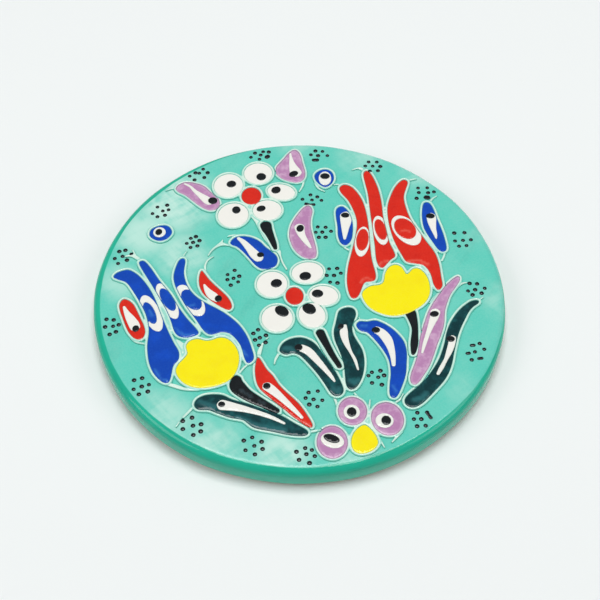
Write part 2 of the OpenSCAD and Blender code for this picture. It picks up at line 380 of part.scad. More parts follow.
module leaf_tears(leaves) {
    for (l = leaves) intersection() {
        offset(delta = -seam) patch(l[0]);
        difference() {
            stroke(l[1]);
            oval(l[2]);
        }
    }
}

module leaf_eyes(leaves) {
    for (l = leaves) oval(l[2]);
}

// Eyes, rings and drops stay on the pools that carry them
module kept_on_ovals(pools) {
    intersection() {
        offset(delta = -seam) ovals(pools);
        children();
    }
}

module kept_on_patches(pools) {
    intersection() {
        offset(delta = -seam) patches(pools);
        children();
    }
}

// A place near the edge moves in until a dot there is all on the face
function on_face(p) = p * min(1, (face_r - dot_d * (1 + dot_change) / 2) / norm(p));

// A stem stops at the pools of the flower above it
module stem_under(stem) {
    difference() {
        stroke(stem);
        offset(delta = 2 * seam) children();
    }
}

module dot_shapes() {
    for (i = [0 : len(CLUSTERS) - 1]) {
        change = rands(1 - dot_change, 1 + dot_change, len(CLUSTERS[i]), i + 1);
        for (d = [0 : len(CLUSTERS[i]) - 1])
            translate(on_face(pattern * CLUSTERS[i][d])) circle(d = dot_d * change[d], $fn = 16);
    }
    strokes(SMEARS);
}

// ---- Groups that share one set of slip lines ----

module group_pools(g) {
    if (g == "red_tulip") {
        patches(RED_PETALS);
        patch(RED_CUP);
        stem_under(RED_STEM) patch(RED_CUP);
        leaf_patches(RED_SIDES);
    }
    if (g == "blue_tulip") {
        patches(BLUE_PETALS);
        patch(BLUE_CUP);
        stem_under(BLUE_STEM) patch(BLUE_CUP);
        leaf_patches(BLUE_SIDES);
    }
    if (g == "top_daisy") {
        ovals(TOP_PETALS);
        oval(TOP_HEART);
        stem_under(TOP_STEM) ovals(TOP_PETALS);
    }
    if (g == "centre_daisy") {
        ovals(CENTRE_PETALS);
        oval(CENTRE_HEART);
        stem_under(CENTRE_STEM) ovals(CENTRE_PETALS);
    }
    if (g == "violet_leaf") leaf_patches(VIOLET_LEAVES);
    if (g == "blue_leaf") leaf_patches(BLUE_LEAVES);
    if (g == "green_leaf") leaf_patches(GREEN_LEAVES);
    if (g == "red_leaf") leaf_patches(RED_LEAVES);
    if (g == "blossom") {
        ovals(BLOSSOM_DISCS);
        patch(BLOSSOM_HEART);
    }
    if (g == "bead") patches(BEADS);
    if (g == "dots") dot_shapes();
}

GROUPS = ["red_tulip", "blue_tulip", "top_daisy", "centre_daisy", "violet_leaf", "blue_leaf", "green_leaf",
    "red_leaf", "blossom", "bead", "dots"];
WHISKERS = [RED_WHISKERS, BLUE_WHISKERS, TOP_WHISKERS, CENTRE_WHISKERS, VIOLET_WHISKERS,
    BLUE_LEAF_WHISKERS, GREEN_WHISKERS, RED_LEAF_WHISKERS, BLOSSOM_WHISKERS, BEAD_WHISKERS];

// All the ground that a group's slip lines and pools take up
module group_reach(i) {
    offset(delta = seam + slip_w) group_pools(GROUPS[i]);
    strokes(WHISKERS[i]);
}

// The slip lines of one group stop at every pool, and at the lines of the groups laid before it
module slip_lines(i) {
    color(SLIP) translate([0, 0, face_z]) linear_extrude(slip_h)
        offset(r = slip_corner, $fn = 12) offset(delta = -slip_corner - crack)
        offset(r = crack, $fn = 8) intersection() {
            circle(r = face_r, $fn = 180);
            difference() {
                group_reach(i);
                for (g = GROUPS) offset(delta = seam) group_pools(g);
                if (i > 0) for (j = [0 : i - 1]) offset(delta = seam) group_reach(j);
            }
        }
}

module pool(tint) {
    color(tint) translate([0, 0, face_z]) linear_extrude(pool_h) children();
}

module drop(tint) {
    color(tint) translate([0, 0, pool_top]) linear_extrude(drop_h) children();
}

// ---- Disc and ground ----

// Half outline of the disc, shrunk by a skin on its face and its wall
function disc_profile(skin) = let (r = disc_d / 2 - skin, top = disc_h - skin, bend = shoulder_r - skin)
    concat([[0, 0]],
        [for (s = [0 : edge_steps]) let (a = -90 + 90 * s / edge_steps)
            [disc_d / 2 - coat_t - foot_r + foot_r * cos(a), foot_r + foot_r * sin(a)]],
        [for (s = [0 : edge_steps]) let (a = 90 * s / edge_steps)
            [r - bend + bend * cos(a), top - bend + bend * sin(a)]],
        [[0, top]]);

module clay_disc() {
    color(CLAY) rotate_extrude($fn = 180) polygon(disc_profile(coat_t));
}

module ground_glaze() {
    color(TURQUOISE) translate([0, 0, disc_h - coat_t]) cylinder(r = face_r, h = coat_t, $fn = 180);
}

module rim_glaze() {
    r = disc_d / 2;
    outer = [for (s = [0 : edge_steps]) let (a = 90 * s / edge_steps)
        [r - shoulder_r + shoulder_r * cos(a), disc_h - shoulder_r + shoulder_r * sin(a)]];
    bend = shoulder_r - coat_t;
    inner = [for (s = [edge_steps : -1 : 0]) let (a = 90 * s / edge_steps)
        [r - shoulder_r + bend * cos(a), disc_h - shoulder_r + bend * sin(a)]];
    color(TEAL) rotate_extrude($fn = 180)
        polygon(concat([[r - coat_t, glaze_end], [r, glaze_end]], outer, inner));
}

// ---- Red tulip ----

module red_tulip_slip() { slip_lines(0); }
module red_tulip_petals() { pool(RED) patches(RED_PETALS); }
module red_tulip_rings() {
    drop(WHITE) kept_on_patches(RED_PETALS) difference() {
        ovals(RED_RINGS);
        offset(delta = seam) ovals(RED_DROPS);
    }
}
module red_tulip_drops() { drop(RED) kept_on_patches(RED_PETALS) ovals(RED_DROPS); }
module red_tulip_cup() { pool(YELLOW) patch(RED_CUP); }
module red_tulip_stem() { pool(BLACK) stem_under(RED_STEM) patch(RED_CUP); }
module red_tulip_side_leaves() { pool(BLUE) leaf_patches(RED_SIDES); }
module red_tulip_tears() { drop(WHITE) leaf_tears(RED_SIDES); }
module red_tulip_eyes() { drop(BLACK) leaf_eyes(RED_SIDES); }

// ---- Blue tulip ----

module blue_tulip_slip() { slip_lines(1); }
module blue_tulip_petals() { pool(BLUE) patches(BLUE_PETALS); }
module blue_tulip_rings() {
    drop(WHITE) kept_on_patches(BLUE_PETALS) difference() {
        ovals(BLUE_RINGS);
        offset(delta = seam) ovals(BLUE_DROPS);
    }
}
module blue_tulip_drops() { drop(BLUE) kept_on_patches(BLUE_PETALS) ovals(BLUE_DROPS); }
module blue_tulip_cup() { pool(YELLOW) patch(BLUE_CUP); }
module blue_tulip_stem() { pool(BLACK) stem_under(BLUE_STEM) patch(BLUE_CUP); }
module blue_tulip_side_leaves() { pool(RED) leaf_patches(BLUE_SIDES); }
module blue_tulip_tears() { drop(WHITE) leaf_tears(BLUE_SIDES); }
module blue_tulip_eyes() { drop(BLACK) leaf_eyes(BLUE_SIDES); }

// ---- Daisies ----

module top_daisy_slip() { slip_lines(2); }
module top_daisy_petals() { pool(WHITE) ovals(TOP_PETALS); }
module top_daisy_eyes() { drop(BLACK) kept_on_ovals(TOP_PETALS) ovals(TOP_EYES); }
module top_daisy_heart() { pool(RED) oval(TOP_HEART); }
module top_daisy_stem() { pool(BLACK) stem_under(TOP_STEM) ovals(TOP_PETALS); }

module centre_daisy_slip() { slip_lines(3); }
module centre_daisy_petals() { pool(WHITE) ovals(CENTRE_PETALS); }
module centre_daisy_eyes() { drop(BLACK) kept_on_ovals(CENTRE_PETALS) ovals(CENTRE_EYES); }
module centre_daisy_heart() { pool(RED) oval(CENTRE_HEART); }
module centre_daisy_stem() { pool(BLACK) stem_under(CENTRE_STEM) ovals(CENTRE_PETALS); }

// ---- Leaves ----

module violet_leaf_slip() { slip_lines(4); }
module violet_leaves() { pool(VIOLET) leaf_patches(VIOLET_LEAVES); }
module violet_leaf_tears() { drop(WHITE) leaf_tears(VIOLET_LEAVES); }
module violet_leaf_eyes() { drop(BLACK) leaf_eyes(VIOLET_LEAVES); }

module blue_leaf_slip() { slip_lines(5); }
module blue_leaves() { pool(BLUE) leaf_patches(BLUE_LEAVES); }
module blue_leaf_tears() { drop(WHITE) leaf_tears(BLUE_LEAVES); }
module blue_leaf_eyes() { drop(BLACK) leaf_eyes(BLUE_LEAVES); }

module green_leaf_slip() { slip_lines(6); }
module green_leaves() { pool(GREEN) leaf_patches(GREEN_LEAVES); }
module green_leaf_tears() { drop(WHITE) leaf_tears(GREEN_LEAVES); }
module green_leaf_eyes() { drop(BLACK) leaf_eyes(GREEN_LEAVES); }

module red_leaf_slip() { slip_lines(7); }
module red_leaf() { pool(RED) leaf_patches(RED_LEAVES); }
module red_leaf_tear() { drop(WHITE) leaf_tears(RED_LEAVES); }
module red_leaf_eye() { drop(BLACK) leaf_eyes(RED_LEAVES); }

// ---- Blossom, beads and dots ----

module blossom_slip() { slip_lines(8); }
module blossom_discs() { pool(VIOLET) ovals(BLOSSOM_DISCS); }
module blossom_rings() {
    drop(WHITE) difference() {
        ovals(BLOSSOM_RINGS);
        offset(delta = seam) ovals(BLOSSOM_EYES);
    }
}
module blossom_eyes() { drop(BLACK) ovals(BLOSSOM_EYES); }
module blossom_heart() { pool(YELLOW) patch(BLOSSOM_HEART); }

module bead_slip() { slip_lines(9); }
module beads() { pool(BLUE) patches(BEADS); }
module bead_rings() {
    drop(WHITE) difference() {
        ovals(BEAD_RINGS);
        offset(delta = seam) ovals(BEAD_EYES);
    }
}
module bead_eyes() { drop(BLACK) ovals(BEAD_EYES); }

module dots() {
    color(BLACK) translate([0, 0, face_z]) linear_extrude(dot_h) dot_shapes();
}

// ---- The piece drawn ----

clay_disc();
ground_glaze();
rim_glaze();
red_tulip_slip();
red_tulip_petals();
red_tulip_rings();
red_tulip_drops();
red_tulip_cup();
red_tulip_stem();
red_tulip_side_leaves();
red_tulip_tears();
red_tulip_eyes();
blue_tulip_slip();
blue_tulip_petals();
blue_tulip_rings();
blue_tulip_drops();
blue_tulip_cup();
blue_tulip_stem();
blue_tulip_side_leaves();
blue_tulip_tears();
blue_tulip_eyes();
top_daisy_slip();
top_daisy_petals();
top_daisy_eyes();
top_daisy_heart();
top_daisy_stem();
centre_daisy_slip();
centre_daisy_petals();
centre_daisy_eyes();
centre_daisy_heart();
centre_daisy_stem();
violet_leaf_slip();
violet_leaves();
violet_leaf_tears();
violet_leaf_eyes();
blue_leaf_slip();
blue_leaves();
blue_leaf_tears();
blue_leaf_eyes();
green_leaf_slip();
green_leaves();
green_leaf_tears();
green_leaf_eyes();
red_leaf_slip();
red_leaf();
red_leaf_tear();
red_leaf_eye();
blossom_slip();
blossom_discs();
blossom_rings();
blossom_eyes();
blossom_heart();
bead_slip();
beads();
bead_rings();
bead_eyes();
dots();
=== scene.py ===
"""Looks for a hand painted ceramic plate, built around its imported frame.

A turquoise wash covers a clay disc. Raised lines of pale slip hold pools of coloured glaze, white rings and
tears and black eyes lie on the pools, and clusters of black dots fill the ground between.
"""

import json
import math

import bpy
import numpy as np
from mathutils import Matrix, Vector, kdtree
from mathutils.geometry import delaunay_2d_cdt


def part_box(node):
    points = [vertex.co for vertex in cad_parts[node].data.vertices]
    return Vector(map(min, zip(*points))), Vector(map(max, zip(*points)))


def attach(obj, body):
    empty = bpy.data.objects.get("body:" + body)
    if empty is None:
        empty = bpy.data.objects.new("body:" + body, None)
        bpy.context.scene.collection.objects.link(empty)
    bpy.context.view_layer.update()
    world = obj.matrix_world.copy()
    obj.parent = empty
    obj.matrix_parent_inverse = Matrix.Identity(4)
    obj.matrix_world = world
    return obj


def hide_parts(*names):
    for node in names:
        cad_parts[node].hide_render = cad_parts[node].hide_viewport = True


bl_info = {
    "name": "Hand Painted Ceramic Plate",
    "version": (1, 0, 0),
    "blender": (4, 5, 0),
    "location": "View3D > Sidebar > Plate",
    "description": "Builds the clay, wash, slip lines, glaze pools and dots of a painted plate",
    "category": "Object",
}

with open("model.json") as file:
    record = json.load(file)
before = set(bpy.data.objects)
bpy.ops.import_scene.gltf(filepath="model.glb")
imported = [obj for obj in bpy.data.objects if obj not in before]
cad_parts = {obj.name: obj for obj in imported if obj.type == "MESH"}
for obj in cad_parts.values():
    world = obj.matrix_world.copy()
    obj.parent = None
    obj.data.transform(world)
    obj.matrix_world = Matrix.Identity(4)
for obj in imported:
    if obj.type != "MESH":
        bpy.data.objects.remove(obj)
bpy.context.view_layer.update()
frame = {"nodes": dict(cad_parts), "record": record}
MM = 0.001

# Sizes that the frame fixes
RIM_LOW, RIM_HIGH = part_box("rim_glaze")
GROUND_LOW, GROUND_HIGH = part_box("ground_glaze")
FOOT_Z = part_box("clay_disc")[0].z
DISC_R = (RIM_HIGH.x - RIM_LOW.x) / 2
FACE_R = (GROUND_HIGH.x - GROUND_LOW.x) / 2
FACE_Z = GROUND_HIGH.z
COAT_T = GROUND_HIGH.z - GROUND_LOW.z
SHOULDER_R = DISC_R - FACE_R
SLOT_OF = {part["node"]: part["material_slot"] for part in frame["record"]["subparts"]}

# Sizes of the hand work that no setting changes
FOOT_BEND = 2 * MM  # rounding between the clay's underside and its wall
COAT_DEPTH = 1.3 * COAT_T  # how deep the wash reaches into the clay, so that no gap shows
COAT_LIP = 0.9 * COAT_T  # rounding at the wash's lower edge
SLIP_LIP = 0.5 * MM  # width of a slip line's rounded edge
DROP_CREEP = 0.05 * MM  # how far a ring, tear or eye spreads past its outline
SINK = 0.1 * MM  # how deep a layer's underside lies in its bed
SAME_PLACE = 0.001 * MM  # points nearer than this are one
DOT_SPREAD = 1.12  # width of a dot's dome against its outline

# Sizes of a layer's flat mesh, in millimetres
LIP_TURNS = (32, 52, 71, 90)  # where the rows of points on a rounded lip stand, in degrees
ROW_SHARE = 0.866  # distance of a lattice's rows against its columns
CELL = 0.11  # of the inner points, one is kept in each square this wide
LEAST_NECK = 0.05  # a narrow neck gets middle points that stand at least this far inside
CRACK_WIDTH = 0.4  # a hole whose mean width is less is a crack

# How strongly a pool's colour bleeds into the slip beside it
BLEED = 0.4
WATERY_BLEED = 0.95

# The view: lens and sensor in millimetres, place in disc radii and degrees, shift in shares of the picture
SENSOR, LENS = 36.0, 78.0
CAMERA_AWAY, CAMERA_TILT, CAMERA_ROLL = 6.42, 53.67, -0.23
SHIFT_X, SHIFT_Y = 0.00167, 0.01317
FLOOR_HALF = 4.0

# Strokes under the glaze that lift it and let it run thin, in millimetres on the face
THIN_STROKES = {
    "red_tulip_petals": [
        [(24.2, 4.3), (25, 6.2), (26.8, 6.8), (28.4, 6)],
        [(31.4, 12.8), (33.2, 14.8), (35.6, 15.2), (37.6, 14.4)],
        [(43, 14.8), (45, 15.6), (48.2, 15.2), (51, 13.4)],
    ],
    "red_tulip_drops": [[(41.4, 30.2), (43, 30.8), (44.6, 30)]],
    "blue_tulip_petals": [
        [(-37, -17.6), (-34.7, -20.1), (-30.2, -20.7), (-26.6, -19.6)],
        [(-47.2, -17.2), (-44, -20), (-39.6, -20)],
        [(-53.6, -36), (-51.4, -39.8), (-48.8, -41)],
        [(-21.8, -26.8), (-19.8, -30)],
    ],
    "blue_tulip_drops": [[(-57.3, -9), (-56.2, -11.6)], [(-42.2, -6.6), (-40.4, -6.2)]],
    "green_leaves": [
        [(-5.6, -26.6), (-3.6, -26.4), (-2.4, -27.4)],
        [(12.6, -44.6), (13.8, -46), (14.8, -44.8)],
        [(18.8, -41), (20.4, -42.2), (21.8, -41)],
        [(42, -49.6), (44.6, -49), (46.6, -46.8)],
        [(-36.2, -50), (-33.5, -51.4), (-31, -52)],
        [(-22.5, -56.9), (-17.9, -59.4), (-12.4, -61), (-5.4, -62.2)],
    ],
    "blue_tulip_stem": [[(-21.8, -45), (-17.6, -48)], [(-15, -49.6), (-12.8, -51)]],
    "blue_leaves": [[(34.6, -43.4), (35.6, -46)], [(23.6, -16.2), (25.6, -16.4)]],
    "red_leaf": [[(1.6, -58.6), (3, -60)]],
}

# Pale clouds where the wash was brushed thin, and along the far rim also a painted highlight of the shoulder:
# x, y, radius in millimetres, and how pale
CLOUDS = [
    (-50, 47, 23, 0.95), (-62, 30, 18, 0.75), (-46, 19, 16, 0.75), (-70, 6, 13, 0.5),
    (-52, -58, 20, 0.6), (-30, -68, 16, 0.7), (-6, -71, 14, 0.8), (20, -76, 12, 0.6),
    (0, 79, 12, 0.5), (26, 74, 13, 0.45), (50, 62, 12, 0.4), (77, -4, 12, 0.35), (72, 26, 9, 0.25),
    (-18, -38, 10, 0.15), (22, 68, 9, 0.2), (60, -44, 10, 0.2),
]


def srgb(red, green, blue):
    """A colour given as 0 to 255 on a screen, as the linear values that materials take."""
    return tuple(
        (c / 255 / 12.92) if c <= 10 else ((c / 255 + 0.055) / 1.055) ** 2.4
        for c in (red, green, blue)
    )


# ---- What a user can set ----


def length(name, description, default):
    """A length of a few millimetres, shown in the scene's units."""
    return bpy.props.FloatProperty(
        name=name, description=description, default=default * MM, min=0, soft_max=5 * MM, precision=5,
        unit="LENGTH",
    )


def tint(name, description, *default):
    """A colour, with its default as screen values."""
    return bpy.props.FloatVectorProperty(
        name=name, description=description, default=srgb(*default), size=3, min=0, max=1, subtype="COLOR",
    )


class PlateSizes(bpy.types.PropertyGroup):
    """Sizes of the hand work that the frame leaves open."""

    out_of_round: length("Out of round", "How far the wall strays from a true circle", 0.45)
    undulation: length("Undulation", "How far the face rises and falls", 0.08)
    pool_lip: length("Pool lip", "Width of the rounded edge of a glaze pool", 0.4)
    pool_creep: length("Pool creep", "How far a pool creeps up the slip line beside it", 0.16)
    slip_creep: length("Slip creep", "How far a slip line spreads past its outline", 0.05)
    drop_lip: length("Drop lip", "Width of the rounded edge of a ring, tear or eye", 0.25)
    ripple: length("Ripple", "Height of the uneven swell on a glaze", 0.05)
    lift: length("Stroke lift", "How far a stroke under the glaze lifts it", 0.07)
    stroke: length("Stroke width", "Half the width of a stroke under the glaze", 0.85)
    lattice: length("Lattice", "Distance between the inner points of a pool's mesh", 0.9)


class PlateColours(bpy.types.PropertyGroup):
    """Colours of the fired glazes."""

    turquoise: tint("Turquoise", "Wash on the face", 91, 201, 183)
    pale: tint("Pale wash", "Wash where it was brushed thin", 190, 230, 217)
    wall: tint("Wall", "Wash where it lies thick on the wall", 32, 178, 148)
    clay: tint("Clay", "Bare fired clay", 224, 208, 184)
    slip: tint("Slip", "Raised lines under the wash", 218, 240, 226)
    red: tint("Red", "Red glaze", 214, 38, 22)
    blue: tint("Blue", "Cobalt glaze", 8, 66, 172)
    green: tint("Green", "Dark green glaze", 5, 50, 54)
    violet: tint("Violet", "Violet glaze", 180, 128, 172)
    yellow: tint("Yellow", "Yellow glaze", 246, 231, 6)
    white: tint("White", "White glaze", 238, 236, 229)
    black: tint("Black", "Black glaze", 16, 20, 23)


# ---- Node trees ----


def node(tree, kind, inputs=None, **settings):
    """A new node with its settings made, and each input linked to a socket or set to a value."""
    made = tree.nodes.new(kind)
    for name, value in settings.items():
        setattr(made, name, value)
    for socket, value in (inputs or {}).items():
        if isinstance(value, bpy.types.NodeSocket):
            tree.links.new(value, made.inputs[socket])
        else:
            made.inputs[socket].default_value = value
    return made


def sums(tree, operation, first, second=0.0, third=0.0):
    """The result of a Math node."""
    return node(tree, "ShaderNodeMath", {0: first, 1: second, 2: third}, operation=operation).outputs[0]


def value_socket(sockets):
    """The socket named Value that a node's data type leaves in use."""
    return next(s for s in sockets if s.name == "Value" and s.enabled)


def eased_range(tree, value, low, high):
    """0 below low, 1 above high and smooth between; low may be the larger."""
    made = node(
        tree, "ShaderNodeMapRange", {"Value": value, "From Min": low, "From Max": high},
        interpolation_type="SMOOTHSTEP",
    )
    return made.outputs[0]


def blended(tree, amount, first, second):
    """The colour between two colours."""
    made = node(tree, "ShaderNodeMix", {0: amount}, data_type="RGBA")
    for index, value in ((6, first), (7, second)):
        if isinstance(value, bpy.types.NodeSocket):
            tree.links.new(value, made.inputs[index])
        else:
            made.inputs[index].default_value = (*value, 1)
    return made.outputs[2]


def noise(tree, place, scale, detail=3.0, roughness=0.5):
    """Noise about 0.5, whose features are about 1 / scale metres across."""
    inputs = {"Vector": place, "Scale": scale, "Detail": detail, "Roughness": roughness}
    return node(tree, "ShaderNodeTexNoise", inputs).outputs[0]


def stretched(tree, place, turn, stretch):
    """The place, turned about Z and drawn out along the new X, so that noise on it makes streaks."""
    inputs = {"Vector": place, "Rotation": (0, 0, math.radians(turn)), "Scale": (stretch, 1, 1)}
    return node(tree, "ShaderNodeMapping", inputs, vector_type="TEXTURE").outputs[0]


def attribute(tree, name, output="Fac"):
    """A value that the piece's mesh carries."""
    return node(tree, "ShaderNodeAttribute", attribute_name=name).outputs[output]


# ---- Shape trees ----


def shape_tree(name, **inputs):
    """A Geometry Nodes tree with a geometry in and out, and named inputs of the given types."""
    tree = bpy.data.node_groups.new(name, "GeometryNodeTree")
    tree.interface.new_socket("Geometry", in_out="OUTPUT", socket_type="NodeSocketGeometry")
    tree.interface.new_socket("Geometry", in_out="INPUT", socket_type="NodeSocketGeometry")
    for label, kind in inputs.items():
        tree.interface.new_socket(label.replace("_", " "), in_out="INPUT", socket_type="NodeSocket" + kind)
    return tree, node(tree, "NodeGroupInput").outputs


def surface_below(tree, bed, place):
    """Height of the bed straight under a place."""
    split = node(tree, "ShaderNodeSeparateXYZ", {0: place})
    above = node(tree, "ShaderNodeCombineXYZ", {0: split.outputs[0], 1: split.outputs[1], 2: 3 * FACE_Z})
    seen = node(tree, "GeometryNodeObjectInfo", {"Object": bed})
    ray = node(
        tree, "GeometryNodeRaycast",
        {
            "Target Geometry": seen.outputs["Geometry"], "Source Position": above.outputs[0],
            "Ray Direction": (0, 0, -1), "Ray Length": 1.0,
        },
    )
    return node(tree, "ShaderNodeSeparateXYZ", {0: ray.outputs["Hit Position"]}).outputs[2]


def at_height(tree, geometry, place, height):
    """The geometry with each point moved to a height."""
    split = node(tree, "ShaderNodeSeparateXYZ", {0: place})
    target = node(tree, "ShaderNodeCombineXYZ", {0: split.outputs[0], 1: split.outputs[1], 2: height})
    moved = node(tree, "GeometryNodeSetPosition", {"Geometry": geometry, "Position": target.outputs[0]})
    return moved.outputs[0]


def stored(tree, geometry, name, value, kind="FLOAT"):
    """The geometry with a value kept on its points."""
    made = node(tree, "GeometryNodeStoreNamedAttribute", {"Geometry": geometry, "Name": name}, data_type=kind)
    tree.links.new(value, value_socket(made.inputs))
    return made.outputs[0]


def ended(tree, geometry, material):
    """Ends a tree: smooth shading, any instances made real, and the material set."""
    smooth = node(tree, "GeometryNodeSetShadeSmooth", {"Geometry": geometry})
    real = node(tree, "GeometryNodeRealizeInstances", {0: smooth.outputs[0]})
    painted = node(tree, "GeometryNodeSetMaterial", {"Geometry": real.outputs[0], "Material": material})
    node(tree, "NodeGroupOutput", {0: painted.outputs[0]})
    return tree


def glaze_tree():
    """A flat sheet made a pool: rounded at its outline, swollen unevenly, and laid on the bed below it."""
    tree, given = shape_tree(
        "Glaze pool", Bed="Object", Strokes="Object", Height="Float", Lip="Float", Ripple="Float",
        Lift="Float", Stroke_width="Float", Material="Material",
    )
    sheet = given["Geometry"]
    place = node(tree, "GeometryNodeInputPosition").outputs[0]
    faces = node(tree, "GeometryNodeInputMeshEdgeNeighbors").outputs[0]
    outline = node(
        tree, "FunctionNodeCompare", {"A": faces, "B": 1}, data_type="INT", operation="EQUAL",
    ).outputs[0]
    border = node(
        tree, "GeometryNodeSeparateGeometry", {"Geometry": sheet, "Selection": outline}, domain="EDGE",
    )
    beside = node(tree, "GeometryNodeProximity", {0: border.outputs[0]}, target_element="EDGES")
    away = beside.outputs["Distance"]
    step = node(
        tree, "ShaderNodeMath", {0: away, 1: given["Lip"]}, operation="DIVIDE", use_clamp=True,
    ).outputs[0]
    rounded = sums(tree, "SQRT", sums(tree, "MULTIPLY", step, sums(tree, "SUBTRACT", 2.0, step)))

    strokes = node(tree, "GeometryNodeObjectInfo", {"Object": given["Strokes"]}).outputs["Geometry"]
    near = node(tree, "GeometryNodeProximity", {0: strokes}, target_element="EDGES")
    uneven = sums(tree, "SUBTRACT", noise(tree, place, 700.0, 2.0), 0.5)
    distance = sums(tree, "ADD", near.outputs["Distance"], sums(tree, "MULTIPLY", uneven, 1.2 * MM))
    close = eased_range(tree, sums(tree, "DIVIDE", distance, given["Stroke width"]), 1.0, 0.1)
    thin = sums(tree, "MULTIPLY", close, near.outputs["Is Valid"])

    swell = sums(tree, "SUBTRACT", noise(tree, place, 190.0), 0.5)
    height = sums(tree, "MULTIPLY_ADD", swell, given["Ripple"], given["Height"])
    lifted = sums(tree, "ADD", height, sums(tree, "MULTIPLY", thin, given["Lift"]))
    below = surface_below(tree, given["Bed"], place)
    sheet = stored(tree, sheet, "edge", sums(tree, "DIVIDE", away, MM))
    sheet = stored(tree, sheet, "thin", thin)
    top = at_height(tree, sheet, place, sums(tree, "ADD", below, sums(tree, "MULTIPLY", lifted, rounded)))
    sunk = sums(tree, "MULTIPLY", step, SINK)
    under = at_height(tree, sheet, place, sums(tree, "SUBTRACT", below, sunk))
    under = node(tree, "GeometryNodeFlipFaces", {"Mesh": under}).outputs[0]
    both = node(tree, "GeometryNodeJoinGeometry")
    for part in (top, under):
        tree.links.new(part, both.inputs[0])
    whole = node(tree, "GeometryNodeMergeByDistance", {"Geometry": both.outputs[0], "Distance": SAME_PLACE})
    return ended(tree, whole.outputs[0], given["Material"])


def stain_tree():
    """Keeps on each point of a slip line the colour of the nearest pool, and the gap to it in millimetres."""
    tree, given = shape_tree("Slip stain", Pools="Object", Material="Material")
    pools = node(tree, "GeometryNodeObjectInfo", {"Object": given["Pools"]}).outputs["Geometry"]
    away = node(tree, "GeometryNodeProximity", {0: pools}, target_element="FACES").outputs["Distance"]
    colour = node(
        tree, "GeometryNodeInputNamedAttribute", {"Name": "tint"}, data_type="FLOAT_COLOR",
    ).outputs[0]
    nearest = node(tree, "GeometryNodeSampleNearestSurface", {"Mesh": pools}, data_type="FLOAT_COLOR")
    tree.links.new(colour, value_socket(nearest.inputs))
    kept = stored(tree, given["Geometry"], "stain", value_socket(nearest.outputs), "FLOAT_COLOR")
    kept = stored(tree, kept, "gap", sums(tree, "DIVIDE", away, MM))
    return ended(tree, kept, given["Material"])


def dot_tree():
    """Instances one dot on each point, laid on the bed and as wide as the point says."""
    tree, given = shape_tree("Dots", Bed="Object", Dot="Object", Height="Float", Material="Material")
    place = node(tree, "GeometryNodeInputPosition").outputs[0]
    laid = at_height(tree, given["Geometry"], place, surface_below(tree, given["Bed"], place))
    wide = node(tree, "GeometryNodeInputNamedAttribute", {"Name": "dot_radius"}, data_type="FLOAT").outputs[0]
    grown = node(tree, "ShaderNodeCombineXYZ", {0: wide, 1: wide, 2: given["Height"]}).outputs[0]
    dot = node(tree, "GeometryNodeObjectInfo", {"Object": given["Dot"]}).outputs["Geometry"]
    spun = node(
        tree, "FunctionNodeRandomValue", {0: (0, 0, 0), 1: (0, 0, math.tau), "Seed": 5},
        data_type="FLOAT_VECTOR",
    ).outputs[0]
    copies = node(
        tree, "GeometryNodeInstanceOnPoints",
        {"Points": laid, "Instance": dot, "Scale": grown, "Rotation": spun},
    )
    real = node(tree, "GeometryNodeRealizeInstances", {0: copies.outputs[0]})
    whole = node(tree, "ShaderNodeValue")
    whole.outputs[0].default_value = 1.0
    inner = stored(tree, real.outputs[0], "edge", whole.outputs[0])
    return ended(tree, inner, given["Material"])


def hand_tree():
    """A turned form made hand-worked: a little out of round, with a face that rises and falls."""
    tree, given = shape_tree("Hand worked", Out_of_round="Float", Undulation="Float", Material="Material")
    place = node(tree, "GeometryNodeInputPosition").outputs[0]
    split = node(tree, "ShaderNodeSeparateXYZ", {0: place})
    level = node(tree, "ShaderNodeCombineXYZ", {0: split.outputs[0], 1: split.outputs[1]}).outputs[0]
    outward = node(tree, "ShaderNodeVectorMath", {0: level}, operation="NORMALIZE").outputs[0]
    radius = node(tree, "ShaderNodeVectorMath", {0: level}, operation="LENGTH").outputs["Value"]
    near_wall = eased_range(tree, radius, 0.9 * DISC_R, 0.99 * DISC_R)
    stray = sums(tree, "SUBTRACT", noise(tree, outward, 1.3, 2.0), 0.5)
    push = sums(tree, "MULTIPLY", sums(tree, "MULTIPLY", stray, 4.0), given["Out of round"])
    moved = node(
        tree, "ShaderNodeVectorMath", {0: outward, "Scale": sums(tree, "MULTIPLY", push, near_wall)},
        operation="SCALE",
    ).outputs[0]
    on_face = eased_range(tree, split.outputs[2], FACE_Z - SHOULDER_R, FACE_Z)
    swell = sums(tree, "SUBTRACT", noise(tree, level, 38.0, 2.0), 0.5)
    rise = sums(tree, "MULTIPLY", sums(tree, "MULTIPLY", swell, given["Undulation"]), on_face)
    upward = node(tree, "ShaderNodeCombineXYZ", {2: rise}).outputs[0]
    offset = node(tree, "ShaderNodeVectorMath", {0: moved, 1: upward}, operation="ADD").outputs[0]
    shaped = node(tree, "GeometryNodeSetPosition", {"Geometry": given["Geometry"], "Offset": offset})
    return ended(tree, shaped.outputs[0], given["Material"])


TREES = {}


def tree_named(maker):
    """The tree that a function makes, made once."""
    if maker not in TREES:
        TREES[maker] = maker()
    return TREES[maker]


def shape_with(piece, maker, **values):
    """Adds a shape tree to a piece, with its named inputs set."""
    tree = tree_named(maker)
    modifier = piece.modifiers.new(tree.name, "NODES")
    modifier.node_group = tree
    for item in tree.interface.items_tree:
        label = item.name.replace(" ", "_")
        if item.item_type == "SOCKET" and item.in_out == "INPUT" and label in values:
            modifier[item.identifier] = values[label]


